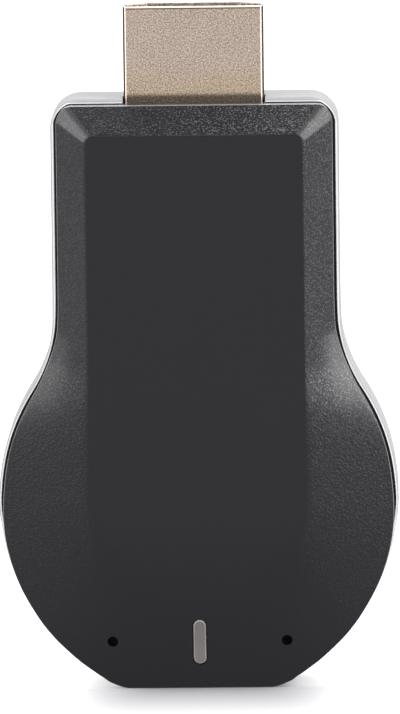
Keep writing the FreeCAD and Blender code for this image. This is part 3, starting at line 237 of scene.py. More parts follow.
class Paint(Tree):
    """A material with one Principled shader, and short calls for the nodes behind it."""

    def __init__(self, name, **constants):
        self.material = bpy.data.materials.new(name)
        self.material.use_nodes = True
        super().__init__(self.material.node_tree)
        self.shader = self.tree.nodes["Principled BSDF"]
        for socket, value in constants.items():
            self.shader.inputs[socket.replace("_", " ")].default_value = value
        self.place = self.node("ShaderNodeTexCoord", {}, {}, "Object")

    def noise(self, size, detail=2.0, roughness=0.5, place=None):
        """Cloudy noise whose features are about one size across."""
        return self.node("ShaderNodeTexNoise", {},
                         {"Vector": place or self.place, "Scale": 1.0 / size, "Detail": detail,
                          "Roughness": roughness})

    def cells(self, size, feature="F1"):
        return self.node("ShaderNodeTexVoronoi", {"feature": feature},
                         {"Vector": self.place, "Scale": 1.0 / size}, "Distance")

    def axis(self, name, vector=None):
        """One axis of the object's coordinates, or of another vector."""
        return self.node("ShaderNodeSeparateXYZ", {}, {0: vector or self.place}, name)

    def facing(self):
        """The way that the surface faces, along the object's axes."""
        return self.node("ShaderNodeTexCoord", {}, {}, "Normal")

    def stretched(self, x, y, z):
        """The object's coordinates, scaled apart along each axis."""
        return self.node("ShaderNodeMapping", {}, {"Vector": self.place, "Scale": (x, y, z)})

    def mix(self, factor, first, second):
        """A colour between two others. Sockets 6 and 7 take the colours, and output 2 gives one."""
        first, second = [tone if isinstance(tone, Wire) else (*tone, 1.0) for tone in (first, second)]
        return self.node("ShaderNodeMix", {"data_type": "RGBA"}, {0: factor, 6: first, 7: second}, 2)

    def bump(self, height, distance, strength=1.0):
        return self.node("ShaderNodeBump", {}, {"Height": height, "Distance": distance, "Strength": strength})

    def feed(self, **wires):
        for name, wire in wires.items():
            self.tree.links.new(wire.socket, self.shader.inputs[name.replace("_", " ")])
        return self.material


def shade(tone, factor):
    return tuple(channel * factor for channel in tone)


def charcoal_plastic():
    """Black moulded cover: fine grain on the sloping facets, satin on the plateau."""
    tone = tuple(finish_colours().charcoal)
    paint = Paint("charcoal_plastic", IOR=1.5, Specular_IOR_Level=0.27, Coat_Roughness=0.3, Coat_IOR=2.2)
    across, deep, high = [paint.axis(name) for name in "XYZ"]
    normal = paint.facing()
    sideways = paint.axis("X", normal)
    upwards = paint.axis("Z", normal).most(0.0)
    tilt = (sideways * sideways + upwards * upwards) ** 0.5
    grained = tilt.ramp(0.10, 0.24)
    glossy = tilt.ramp(0.15, 0.6)
    rim = tilt.ramp(0.8, 0.95) * high.ramp(4 * MM, 12 * MM)
    slant = ((sideways * upwards) ** 2).ramp(0.0003, 0.008, 0.0, 0.9)
    grain = paint.noise(0.19 * MM, 1.0, 0.6)
    pores = paint.cells(0.24 * MM, "SMOOTH_F1")
    height = (grain * 1.9 + pores * 0.9) * grained + paint.noise(0.05 * MM, 1.0) * 0.03
    cloud = paint.noise(9 * MM, 3.0)
    speck = paint.noise(0.16 * MM, 1.0).ramp(0.52, 0.66)
    base = paint.mix(speck * grained * 0.55 + cloud * 0.15, shade(tone, 0.9), shade(tone, 1.8))
    # Painted highlight: a pale line along the outer edge of the shoulder below the plug
    painted_ledge_highlight = high.ramp(FRONT_HIGH.z - 0.2 * MM, FRONT_HIGH.z - 0.1 * MM)
    painted_ledge_highlight = painted_ledge_highlight * deep.ramp(PARTING - 0.85 * MM, PARTING - 0.7 * MM, 1.0, 0.0) * upwards.ramp(0.8, 0.95)
    painted_ledge_highlight = painted_ledge_highlight * across.size().ramp(PLUG_HIGH.x, PLUG_HIGH.x + 0.8 * MM, 1.0, 0.0)
    base = paint.mix(painted_ledge_highlight, base, (0.4, 0.4, 0.4))
    rough = 0.40 - grained * 0.04 - rim * 0.2 + (cloud - 0.5) * 0.05
    # Specks of sheen on the top facet, a fan of them beside the hollow curve, and more where a facet slants
    top = upwards.ramp(0.35, 0.7)
    duller = across.ramp(-12 * MM, 8 * MM, 0.35, 1.0)
    hand = across.ramp(-12 * MM, 12 * MM, -0.3, 0.3) * high.ramp(36 * MM, 48 * MM, 1.0, 0.0) + 1
    hand = hand - high.ramp(31.5 * MM, 33.5 * MM) * high.ramp(36 * MM, 40 * MM, 0.3, 0.0)
    fan = high.ramp(27.5 * MM, 30.0 * MM) * high.ramp(31.0 * MM, 33.0 * MM, 1.0, 0.0)
    side_shine = speck * 0.3 + 0.03 + fan * (speck * 0.3 + 0.12)
    shine = (speck * top + side_shine * (1 - top)) * (1 - slant) * duller + slant * (speck * 0.2 + 0.26) * hand
    return paint.feed(Base_Color=base, Roughness=rough, Coat_Weight=(shine * glossy).most(rim),
                      Normal=paint.bump(height, 0.05 * MM, 0.9))


def pale_gloss():
    """Pale glossy cover with a faint orange peel, a few handling marks and a painted highlight along its front
    edge.
    """
    tone = tuple(finish_colours().pale)
    paint = Paint("pale_gloss_plastic", IOR=1.5, Specular_IOR_Level=0.25)
    cloud = paint.noise(14 * MM, 3.0)
    marks = paint.noise(1.0, 2.0, 0.6, paint.stretched(900.0, 900.0, 120.0)).ramp(0.62, 0.75)
    base = paint.mix(cloud, shade(tone, 0.985), shade(tone, 1.015))
    # Painted highlight: a near-white line along the front edge by the parting, faint along the top
    painted_edge_highlight = paint.axis("Y").ramp(PARTING + 0.005 * MM, PARTING + 0.05 * MM, 1.0, 0.0)
    painted_edge_highlight = painted_edge_highlight * paint.axis("Z").ramp(FRONT_HIGH.z + 0.12 * MM, FRONT_HIGH.z + 0.2 * MM, 1.0, 0.1)
    base = paint.mix(painted_edge_highlight, base, (0.98, 0.98, 0.98))
    rough = 0.55 + cloud * 0.06 + marks * 0.05
    height = paint.noise(1.4 * MM, 1.0)
    return paint.feed(Base_Color=base, Roughness=rough, Normal=paint.bump(height, 0.006 * MM, 0.35))


def blasted_metal():
    """Sandblasted plug shell, rubbed smoother towards its mouth, with painted shade at its root and painted
    highlights and dark lines of painted shade at its front edges and mouth.
    """
    tone = tuple(finish_colours().blasted)
    paint = Paint("blasted_metal", Metallic=1.0)
    blast = paint.noise(0.17 * MM, 2.0, 0.6)
    cloud = paint.noise(2.2 * MM, 2.0)
    rub = paint.noise(1.0, 3.0, 0.6, paint.stretched(7000.0, 7000.0, 350.0))
    high = paint.axis("Z")
    mouth = high.ramp(PLUG_HIGH.z - 3.0 * MM, PLUG_HIGH.z)
    # Painted shade: the shell turns dark at its root, where it goes into the covers
    above_root_shade = high.ramp(FRONT_HIGH.z + 0.6 * MM, FRONT_HIGH.z + 1.2 * MM)
    pits = paint.noise(0.15 * MM, 2.0, 0.7).ramp(0.28, 0.72)
    warmth = high.ramp(FRONT_HIGH.z + 1.0 * MM, FRONT_HIGH.z + 4.5 * MM, 1.0, 0.0)
    light = paint.mix(warmth, shade(tone, 1.7), (tone[0] * 1.7, tone[1] * 1.63, tone[2] * 1.39))
    base = paint.mix(pits * 0.8 + cloud * 0.1 + rub * 0.1, shade(tone, 0.3), light)
    base = paint.mix((above_root_shade + pits * 0.25).least(1.0), shade(tone, 0.14), base)
    sideways = paint.axis("X", paint.facing())
    corner = (sideways * sideways).ramp(0.1, 0.5)
    front = paint.axis("Y").ramp(PLUG_LOW.y + 0.3 * MM, PLUG_LOW.y + 0.5 * MM, 1.0, 0.0)
    # Painted shade: a near-black, dull line on the rounded side edges just behind the front face
    painted_edge_shade = sideways.size().ramp(0.5, 0.65) * front
    # Painted highlight on the mouth's lip, with painted shade as a dark line just below it
    below = high.ramp(PLUG_HIGH.z - 0.3 * MM, PLUG_HIGH.z - 0.25 * MM) * front
    lip = high.ramp(PLUG_HIGH.z - 0.17 * MM, PLUG_HIGH.z - 0.12 * MM) * front
    base = paint.mix(below * 0.85 * (1 - lip), base, shade(tone, 0.1))
    # Painted highlight along the rounded side edges near the front, and on the lip
    base = paint.mix((sideways.size().ramp(0.28, 0.42) * front).most(lip), base, shade(tone, 2.6))
    base = paint.mix(painted_edge_shade, base, (0.004, 0.004, 0.004))
    rough = 0.42 + (blast - 0.5) * 0.14 - mouth * 0.05 + (rub - 0.5) * 0.08 - corner * 0.2
    height = blast + rub * mouth * 0.3
    return paint.feed(Base_Color=base, Roughness=rough + painted_edge_shade * 0.4, Metallic=1 - painted_edge_shade,
                      Normal=paint.bump(height, 0.05 * MM, 0.8))


def light_bar_resin():
    """Smoke-tinted translucent bar, lit a little from inside by scatter, with a painted highlight round its bevel.
    """
    tone = tuple(finish_colours().bar)
    paint = Paint("light_bar_resin", IOR=1.5, Subsurface_Weight=0.25, Subsurface_Scale=0.5 * MM,
                  Subsurface_Radius=(1.0, 0.9, 0.8))
    high = paint.axis("Z")
    # The bar's tone runs lighter towards the bottom
    lighter_below = high.ramp(BAR_LOW.z, BAR_HIGH.z, 0.9, 0.1)
    cloud = paint.noise(0.5 * MM, 2.0)
    base = paint.mix(lighter_below + (cloud - 0.5) * 0.4, shade(tone, 0.85), shade(tone, 1.15))
    size = details()
    across = paint.axis("X")
    beyond = ((high - BAR_MIDDLE).size() - (size.bar_height - size.bar_width) / 2).most(0.0)
    off = (across * across + beyond * beyond) ** 0.5
    half = size.bar_width / 2
    # Painted highlight round the bevel at the bar's face
    base = paint.mix(off.ramp(half - size.bar_bevel, half - 0.4 * size.bar_bevel), base, shade(tone, 2.3))
    return paint.feed(Base_Color=base, Roughness=cloud * 0.08 + 0.26,
                      Normal=paint.bump(paint.noise(0.09 * MM, 1.0), 0.002 * MM, 0.5))


def moulded(name, tone, rough, size=0.12, depth=0.006):
    """Moulded plastic, epoxy or rubber with a fine grain."""
    paint = Paint(name, IOR=1.5)
    grain = paint.noise(size * MM, 2.0, 0.6)
    cloud = paint.noise(12 * size * MM, 2.0)
    base = paint.mix(grain * 0.5 + cloud * 0.5, shade(tone, 0.82), shade(tone, 1.18))
    return paint.feed(Base_Color=base, Roughness=rough + (grain - 0.5) * 0.12 + (cloud - 0.5) * 0.06,
                      Normal=paint.bump(grain, depth * MM, 0.8))


def sheet_metal(name, tone, rough, along=(300.0, 6000.0, 6000.0)):
    """Plated or rolled sheet with rolling lines along one axis and faint stains."""
    paint = Paint(name, Metallic=1.0)
    lines = paint.noise(1.0, 3.0, 0.6, paint.stretched(*along))
    stain = paint.noise(1.1 * MM, 3.0)
    base = paint.mix(lines * 0.4 + stain * 0.6, shade(tone, 0.88), shade(tone, 1.08))
    return paint.feed(Base_Color=base, Roughness=rough + (lines - 0.5) * 0.12 + (stain - 0.5) * 0.1,
                      Normal=paint.bump(lines, 0.003 * MM, 0.5))


def board_laminate():
    """Green solder mask over copper tracks and a woven glass core."""
    paint = Paint("board_laminate", IOR=1.5)
    weave_x, weave_z = [paint.node("ShaderNodeTexWave", {"bands_direction": name},
                                   {"Vector": paint.place, "Scale": 900.0}) for name in "XZ"]
    tracks = paint.node("ShaderNodeTexBrick", {}, {
        "Vector": paint.node("ShaderNodeMapping", {}, {"Vector": paint.place, "Rotation": (math.pi / 2, 0.0, 0.0)}),
        "Scale": 420.0, "Mortar Size": 0.035, "Mortar Smooth": 0.2}, "Fac")
    copper = tracks.ramp(0.3, 0.6)
    base = paint.mix(copper, (0.006, 0.075, 0.03), (0.02, 0.17, 0.06))
    height = copper * 0.8 + weave_x * weave_z * 0.2
    return paint.feed(Base_Color=base, Roughness=0.32 + weave_x * 0.06, Normal=paint.bump(height, 0.02 * MM, 0.5))


def speckled_ceramic():
    """Fired ceramic with dark and pale flecks."""
    paint = Paint("part_ceramic", IOR=1.6)
    flecks = paint.cells(0.12 * MM).ramp(0.1, 0.5)
    cloud = paint.noise(0.6 * MM, 2.0)
    base = paint.mix(flecks * 0.6 + cloud * 0.4, (0.30, 0.24, 0.17), (0.52, 0.44, 0.33))
    return paint.feed(Base_Color=base, Roughness=0.5 + cloud * 0.15, Normal=paint.bump(flecks, 0.004 * MM, 0.6))


# Meshes

def arc(centre, radius, start, end, steps):
    """Points along an arc in a plane, from one angle to another in degrees, its first one left out."""
    turn = [math.radians(start + (end - start) * step / steps) for step in range(1, steps + 1)]
    return [(centre[0] + radius * math.cos(a), centre[1] + radius * math.sin(a)) for a in turn]


def line(start, end, steps):
    return [(start[0] + (end[0] - start[0]) * step / steps, start[1] + (end[1] - start[1]) * step / steps)
            for step in range(1, steps + 1)]


# Steps on each stretch of half an outline, from the middle of the top to the middle of the chin
TOP, SHOULDER, NECK, SWEEP, UPPER, LOWER, FLANK, CHIN, SOLE = 14, 12, 20, 26, 20, 40, 5, 12, 10


def flank_corner(centre_x, centre_z, radius, lean, floor, corner):
    """Where a slanting flank leaves an arc and meets a rounded corner: the arc's last point, the flank's
    end and the corner's centre."""
    touch = (centre_x + radius * math.sin(lean), centre_z - radius * math.cos(lean))
    meet = touch[0] - (touch[1] - floor) / math.tan(lean)
    cut = corner * math.tan(lean / 2)
    end = (meet + cut * math.cos(lean), floor + cut * math.sin(lean))
    return touch, end, (meet - cut, floor + corner)


def neck_foot():
    """Height where the neck's straight side ends and the hollow curve to the head starts."""
    size = form()
    reach = (FRONT_HIGH.x + size.neck_sweep) ** 2 - (size.neck_half + size.neck_sweep) ** 2
    return size.head_centre + math.sqrt(reach)


def paddle(move, top, floor, shoulder):
    """Right half of the covers' outline in X and Z, from the top's middle round to the chin's middle."""
    size = form()
    half = size.neck_half - move
    head = FRONT_HIGH.x - move
    sweep = size.neck_sweep + move
    turn = neck_foot()
    join = math.degrees(math.atan2(turn - size.head_centre, half + sweep))
    lean = math.degrees(size.flank)
    chin = size.chin - 0.5 * move
    touch, flank, corner = flank_corner(0.0, size.head_centre, head, size.flank, floor, chin)
    points = [(0.0, top)]
    points += line(points[-1], (half - shoulder, top), TOP)
    points += arc((half - shoulder, top - shoulder), shoulder, 90, 0, SHOULDER)
    points += line(points[-1], (half, turn), NECK)
    points += arc((half + sweep, turn), sweep, 180, 180 + join, SWEEP)
    points += arc((0.0, size.head_centre), head, join, 0, UPPER)
    points += arc((0.0, size.head_centre), head, 0, lean - 90, LOWER)
    points += line(touch, flank, FLANK)
    points += arc(corner, chin, lean - 90, -90, CHIN)
    points += line(points[-1], (0.0, floor), SOLE)
    return points


def eased(value, low, high):
    """Runs smoothly from 0 to 1 as a value goes from low to high."""
    share = min(max((value - low) / (high - low), 0.0), 1.0)
    return share * share * (3 - 2 * share)


# How far the real outline runs outside the one made of arcs and straight lines, in mm: height, front cover,
# rear cover
FULLNESS = (
    (-2.0, -0.3, -0.7), (-1.0, -0.3, -0.7), (0.4, -0.21, -0.65), (0.85, -0.29, -0.60), (1.2, -0.235, -0.54),
    (1.6, -0.15, -0.46), (2.8, 0.10, -0.28), (4.4, 0.21, -0.15), (6.4, 0.18, -0.18), (8.4, 0.11, -0.26),
    (12.4, 0.12, -0.27), (16.0, 0.16, -0.12), (18.4, 0.11, 0.0), (20.4, 0.08, 0.0), (22.3, 0.12, 0.03),
    (24.3, 0.18, 0.08), (26.3, 0.23, 0.13), (28.2, 0.28, 0.17), (30.1, 0.40, 0.22), (32.0, 0.43, 0.22),
    (33.8, 0.32, 0.16), (35.8, 0.12, 0.07), (38.0, 0.02, 0.02), (42.0, 0.0, 0.0), (80.0, 0.0, 0.0),
    (90.0, 0.0, 0.0),
)
FRONT, REAR = 1, 2
# The table counts in full where an outline faces sideways by at least this share
SIDEWAYS = {FRONT: 0.35, REAR: 0.6}


def fullness(up, column):
    """The table's value at a height, on a smooth curve through its rows."""
    heights = [row[0] * MM for row in FULLNESS]
    values = [row[column] * MM for row in FULLNESS]
    index = next(index for index in range(1, len(heights)) if up <= heights[index + 1])
    run = heights[index + 1] - heights[index]
    share = (up - heights[index]) / run
    first, last = [(values[near + 1] - values[near - 1]) / (heights[near + 1] - heights[near - 1]) * run
                   for near in (index, index + 1)]
    return (values[index] * (2 * share ** 3 - 3 * share ** 2 + 1) + first * share * (1 - share) ** 2
            + values[index + 1] * (3 * share ** 2 - 2 * share ** 3) - last * share ** 2 * (1 - share))


def fuller(half, gap=0.0, column=FRONT):
    """Moves a cover's outline outwards where the real one is fuller, and inwards by the shadow gap, which
    closes under the head and is thin along the top."""
    moved = []
    for index, (across, up) in enumerate(half):
        before = half[max(index - 1, 0)]
        after = half[min(index + 1, len(half) - 1)]
        run = math.dist(before, after)
        out = (-(after[1] - before[1]) / run, (after[0] - before[0]) / run)
        grow = fullness(up, column) * min(abs(out[0]) / SIDEWAYS[column], 1.0)
        grow -= gap * eased(up, 9 * MM, 20 * MM) * (1 - 0.9 * eased(out[1], 0.6, 1.0))
        moved.append((across + out[0] * grow, up + out[1] * grow))
    return moved


def plateau(move):
    """Right half of the plateau's outline, with as many points on each stretch as the covers' outline."""
    size = form()
    half = size.plateau_half - move
    turn = size.plateau_turn - move
    top = FRONT_HIGH.z - size.plateau_gap - move
    floor = size.tip + move
    corner = max(size.plateau_corner - move, 0.1 * MM)
    neck = neck_foot()
    middle = (neck + size.turn_start) / 2
    lean = math.degrees(size.flank)
    touch, flank, tip = flank_corner(half - turn, size.turn_start, turn, size.flank, floor, size.tip_round)
    points = [(0.0, top)]
    points += line(points[-1], (half - corner, top), TOP)
    points += arc((half - corner, top - corner), corner, 90, 0, SHOULDER)
    points += line(points[-1], (half, neck), NECK)
    points += line(points[-1], (half, middle), SWEEP)
    points += line(points[-1], (half, size.turn_start), UPPER)
    points += arc((half - turn, size.turn_start), turn, 0, lean - 90, LOWER)
    points += line(touch, flank, FLANK)
    points += arc(tip, size.tip_round, lean - 90, -90, CHIN)
    points += line(points[-1], (0.0, floor), SOLE)
    return points


def mirrored(half):
    """A whole outline from its right half."""
    return half + [(-across, up) for across, up in half[-2:0:-1]]


def at_depth(outline, depth):
    """An outline in X and Z as a ring of points at one depth, or at a depth worked out for each point."""
    return [Vector((across, depth(across, up) if callable(depth) else depth, up)) for across, up in outline]


def blend(first, second, share):
    return [(a[0] + (b[0] - a[0]) * share, a[1] + (b[1] - a[1]) * share) for a, b in zip(first, second)]


def spine(outline, low, high, across=0.0):
    """For each point of an outline, the nearest height on a middle line between two heights."""
    return [(across, min(max(up, low), high)) for _, up in outline]


def quarter(radius, turns):
    """Points on a quarter round between a side and a face: the distance inside each, at turns in degrees."""
    return [(radius * (1 - math.sin(math.radians(turn))), radius * (1 - math.cos(math.radians(turn))))
            for turn in turns]


def skin(name, rings, closed=False):
    """A mesh through rings of as many points each; rings that shrink to a line close its ends."""
    mesh = bmesh.new()
    rows = [[mesh.verts.new(point) for point in ring] for ring in rings]
    for first, second in zip(rows, rows[1:] + rows[:1] if closed else rows[1:]):
        count = len(first)
        for step in range(count):
            after = (step + 1) % count
            mesh.faces.new((first[step], first[after], second[after], second[step]))
    bmesh.ops.remove_doubles(mesh, verts=mesh.verts, dist=0.002 * MM)
    bmesh.ops.dissolve_degenerate(mesh, edges=mesh.edges, dist=0.001 * MM)
    bmesh.ops.recalc_face_normals(mesh, faces=mesh.faces)
    return as_object(name, mesh)


def as_object(name, mesh):
    data = bpy.data.meshes.new(name)
    mesh.to_mesh(data)
    mesh.free()
    return linked(name, data)


def linked(name, data):
    """A new object in the scene, with a mesh, lamp or camera."""
    made = bpy.data.objects.new(name, data)
    bpy.context.collection.objects.link(made)
    return made


def bake_modifiers(thing):
    """Turns an object with its modifiers into a plain mesh."""
    shaped = bpy.data.meshes.new_from_object(thing.evaluated_get(bpy.context.evaluated_depsgraph_get()))
    thing.modifiers.clear()
    old = thing.data
    thing.data = shaped
    bpy.data.meshes.remove(old)


def carve(thing, cutters):
    """Cuts closed shapes out of an object."""
    for cutter in cutters:
        cut = thing.modifiers.new("cut", "BOOLEAN")
        cut.operation = "DIFFERENCE"
        cut.solver = "EXACT"
        cut.object = cutter
    bake_modifiers(thing)
    for cutter in cutters:
        bpy.data.objects.remove(cutter)


def smooth(thing, limit):
    """Smooth faces, with sharp edges where the surface turns by more than a limit, in degrees."""
    mesh = bmesh.new()
    mesh.from_mesh(thing.data)
    bmesh.ops.dissolve_degenerate(mesh, edges=mesh.edges, dist=0.0005 * MM)
    turn = math.radians(limit)
    for face in mesh.faces:
        face.smooth = True
    for edge in mesh.edges:
        edge.smooth = len(edge.link_faces) == 2 and edge.calc_face_angle(math.pi) < turn
    mesh.to_mesh(thing.data)
    mesh.free()
    weigh = thing.modifiers.new("weighted", "WEIGHTED_NORMAL")
    weigh.keep_sharp = True
    weigh.weight = 50
    bake_modifiers(thing)


def settle(thing, material, slot, body, *nodes):
    """Gives a finished piece its material and body, and hides the frame's nodes that it stands for."""
    thing.data.materials.clear()
    thing.data.materials.append(material)
    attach(thing, body)
    if nodes:
        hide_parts(*nodes)


def prism(name, outline, place, low, high, flare=0.0, flare_at=None):
    """A closed cutter: an outline pushed along a direction. place turns an outline point and a distance
    along that direction into a point; the last stretch may widen by a flare."""
    levels = [(low, 0.0), (high, 0.0)] if flare_at is None else [(low, 0.0), (flare_at, 0.0), (high, flare)]
    rings = []
    for level, grow in levels:
        rings.append([place(*point, level) for point in (grown(outline, grow) if grow else outline)])
    middle = [sum(values) / len(outline) for values in zip(*outline)]
    ends = [[place(*middle, level) for point in outline] for level in (levels[0][0], levels[-1][0])]
    return skin(name, [ends[0], *rings, ends[1]])


def grown(outline, grow):
    """A circle or an upright slot, moved outwards by a distance."""
    spans = [(min(values), max(values)) for values in zip(*outline)]
    middle_x, middle_z = [(low + high) / 2 for low, high in spans]
    wide, tall = [high - low for low, high in spans]
    straight = (tall - wide) / 2
    moved = []
    for x, z in outline:
        off_x = x - middle_x
        off_z = z - middle_z
        off_z -= max(-straight, min(straight, off_z))
        far = math.hypot(off_x, off_z) or 1.0
        moved.append((x + off_x / far * grow, z + off_z / far * grow))
    return moved


PILL_END, PILL_SIDE = 24, 8


def pill(centre, wide, tall):
    """A slot outline with round ends, its longer side upright."""
    size = wide / 2
    reach = tall / 2 - size
    points = arc((centre[0], centre[1] + reach), size, 0, 180, PILL_END)
    points += line(points[-1], (centre[0] - size, centre[1] - reach), PILL_SIDE)
    points += arc((centre[0], centre[1] - reach), size, 180, 360, PILL_END)
    points += line(points[-1], (centre[0] + size, centre[1] + reach), PILL_SIDE)
    return points


# The front cover

def crown_depth(height, under=0.0):
    """Y of the front face at a height: flat above, then an arc back towards the chin. under is how far
    below the surface."""
    size = form()
    front = FRONT_LOW.y
    drop = (PARTING - size.crown_foot) - front
    radius = (size.crown_start ** 2 + drop ** 2) / 2 / drop
    below = max(size.crown_start - height, 0.0)
    return front + radius - math.sqrt((radius - under) ** 2 - below ** 2)


def face_depth(facet, height, under=0.0):
    """Y of the front face where a facet has a Y: the facet or the middle face, whichever lies further back,
    with a soft crease between them."""
    size = form()
    crown = crown_depth(height, under)
    low = min(max((size.crown_start - height) / size.crown_start, 0.0), 1.0)
    soft = size.crease * (1 + 4 * low)
    near = max(soft - abs(facet - crown), 0.0) / soft
    return max(facet, crown) + near * near * soft / 4


FACET_STEPS = 30
CROWDING = 0.35  # how much the rings crowd at both ends of a facet
INNER_SHARES = (0.004, 0.009, 0.016, 0.026, 0.045, 0.08, 0.14, 0.24, 0.38, 0.56, 0.78, 1.0)


def front_edge(move, gap=0.0):
    """The front cover's whole outline, moved inwards by a distance and by the shadow gap."""
    return mirrored(fuller(paddle(move, FRONT_HIGH.z - move, move, form().shoulder), gap))


def front_surface(under):
    """Rings from the rim's edge over the facets and the plateau to the middle line, at a depth under the
    outer surface."""
    size = form()
    rim_level = PARTING - size.rim
    rise = FRONT_LOW.y - rim_level
    lean = math.atan2(-rise, size.neck_half - size.seam - size.plateau_half)
    share_out = math.tan((math.pi / 2 - lean) / 2)
    outer = front_edge(under, size.seam)
    inner = mirrored(plateau(under * math.tan(lean / 2)))
    middle = spine(inner, size.tip + 8 * MM, FRONT_HIGH.z - size.plateau_gap - 9 * MM)
    run = [math.dist(a, b) for a, b in zip(outer, inner)]

    def ring(points, beyond):
        made = []
        for (across, up), share in zip(points, beyond):
            facet = rim_level + rise * share + under * share_out
            made.append(Vector((across, face_depth(facet, up, under), up)))
        return made

    rings = []
    start = size.edge / run[len(run) // 4]
    for step in range(FACET_STEPS + 1):
        share = step / FACET_STEPS
        share = start + (1 - start) * (share + CROWDING * math.sin(2 * math.pi * share) / (2 * math.pi))
        rings.append(ring(blend(outer, inner, share), [share] * len(outer)))
    for share in INNER_SHARES:
        points = blend(inner, middle, share)
        rings.append(ring(points, [1 + math.dist(a, b) / span for a, b, span in zip(points, inner, run)]))
    return rings


def front_cover_rings():
    """Rings of the whole shell: the face, down the rim, round the lip and over the inner face, where every
    third ring is enough."""
    size = form()
    rim_level = PARTING - size.rim
    foot = PARTING + 0.8 * size.seam_depth
    sole = PARTING + 0.95 * size.seam_depth
    edge = size.edge
    seam = size.seam
    outside = []
    for move, gap, level in ((0.1 * MM, seam, PARTING), (0.1 * MM, seam, sole), (0.0, 0.0, sole),
                             (0.0, 0.0, foot), (0.0, seam, foot), (0.0, seam, PARTING),
                             (0.0, seam, PARTING - size.rim / 2)):
        outside.append(at_depth(front_edge(move, gap), level))
    for move, step in ((0.0, edge), (0.05 * edge, 0.65 * edge), (0.2 * edge, 0.27 * edge),
                       (0.5 * edge, -0.2 * edge)):
        outside.append(at_depth(front_edge(move, seam), lambda x, z, step=step: face_depth(rim_level, z) + step))
    outer = outside + front_surface(0.0)
    lip_out = size.wall - OVERHANG + 0.1 * MM
    lip_in = size.wall + 0.4 * MM
    steps = ((lip_out, PARTING), (lip_out, PARTING + size.lip), (lip_in, PARTING + size.lip),
             (lip_in, PARTING - 0.4 * MM), (size.wall, PARTING - 0.7 * MM))
    inside = [at_depth(front_edge(move), level) for move, level in steps]
    return outer[::-1] + inside + front_surface(size.wall)[::3]


def cover_openings():
    """Cutters for the light bar's slot and the pinholes; the pinholes' cutters flare a little at the face."""
    size = details()
    slot = pill((0.0, BAR_MIDDLE), size.bar_width + 2 * size.fit, size.bar_height + 2 * size.fit)
    cutters = [prism("slot_cutter", slot, lambda x, z, y: Vector((x, y, z)), PARTING + 2 * MM,
                     FRONT_LOW.y - 1 * MM)]
    for hand in (-1, 1):
        centre = (hand * size.pinhole_half, size.pinhole_height)
        hole = arc(centre, size.pinhole, 0, 360, 48)
        face = crown_depth(size.pinhole_height)
        slope = (crown_depth(size.pinhole_height - 0.5 * MM) - crown_depth(size.pinhole_height + 0.5 * MM)) / MM

        def place(x, z, y, face=face, slope=slope):
            tilt = slope * (size.pinhole_height - z) if y < face + 0.2 * MM else 0.0
            return Vector((x, y + tilt, z))

        cutters.append(prism("pinhole_cutter", hole, place, PARTING + 2 * MM, face - 0.35 * MM, 0.5 * MM,
                             face + 0.11 * MM))
    return cutters


class ADAPTER_OT_front_cover(Operator):
    """Moulded front cover with its facets, plateau, slot and pinholes"""
    bl_idname = "adapter.front_cover"
    bl_label = "Front Cover"

    def execute(self, context):
        cover = skin("front_shell", front_cover_rings())
        carve(cover, cover_openings())
        smooth(cover, 30.0)
        settle(cover, charcoal_plastic(), "charcoal_plastic", "housing", "front_cover")
        return {"FINISHED"}


# The rear cover

# Heights between which the rings of the back end on its middle line
BACK_LINE = (17 * MM, 45 * MM)


def rear_cover_rings():
    """Rings of the whole tub: the inner floor and wall, the step for the front cover, the outer wall and
    the back."""
    size = form()
    chain = []

    def ring(inset, level, floor=None):
        outline = paddle(inset - OVERHANG, REAR_HIGH.z + size.rear_rise - inset, inset if floor is None else floor,
                         max(size.rear_shoulder - inset, 0.4 * MM))
        chain.append(at_depth(mirrored(fuller(outline, column=REAR)), level))

    def groove(move, level):
        """A ring outside the front cover's edge by a distance."""
        outline = paddle(-move, FRONT_HIGH.z + move, OVERHANG - move, size.shoulder + move)
        chain.append(at_depth(mirrored(fuller(outline)), level))

    back = REAR_HIGH.y
    floor_level = back - size.wall
    for inset, drop in quarter(0.5 * MM, range(0, 91, 15)):
        ring(size.wall + inset, floor_level - drop)
    ring(size.wall, PARTING)
    deep = PARTING + size.seam_depth
    inwards = -size.seam - 0.13 * MM
    for move, level in ((inwards, PARTING), (inwards, deep), (0.06 * MM, deep),
                        (0.06 * MM, PARTING + 0.03 * MM), (0.09 * MM, PARTING)):
        groove(move, level)
    for inset, drop in quarter(size.rear_edge, range(0, 91, 15)):
        ring(inset, PARTING + drop, 0.0)
    ring(0.0, back - size.back_round, 0.0)
    for drop, inset in quarter(size.back_round, range(9, 91, 9)):
        ring(inset, back - drop)

    def fill(edge_ring, level, shares):
        outline = [(point.x, point.z) for point in edge_ring]
        return [at_depth(blend(outline, spine(outline, *BACK_LINE), share), level) for share in shares]

    return fill(chain[0], floor_level, (1.0, 0.5)) + chain + fill(chain[-1], back, (0.04, 0.12, 0.3, 0.6, 1.0))


CORNER_STEPS = 6


def rounded(corners, radius):
    """A closed outline with each corner rounded."""
    points = []
    count = len(corners)
    for index, corner in enumerate(corners):
        here = Vector(corner)
        before = (Vector(corners[index - 1]) - here).normalized()
        after = (Vector(corners[(index + 1) % count]) - here).normalized()
        half = before.angle(after) / 2
        centre = here + (before + after).normalized() * (radius / math.sin(half))
        start = here + before * (radius / math.tan(half)) - centre
        end = here + after * (radius / math.tan(half)) - centre
        turn = start.angle_signed(end)
        for step in range(CORNER_STEPS + 1):
            a = -turn * step / CORNER_STEPS
            x = start.x * math.cos(a) - start.y * math.sin(a)
            y = start.x * math.sin(a) + start.y * math.cos(a)
            points.append((centre.x + x, centre.y + y))
    return points


def both_sides(corners):
    """A closed outline from its corners on the right; it starts with the last one on the left."""
    left = [(-x, y) for x, y in corners[::-1]]
    return left[-1:] + corners + left[:-1]


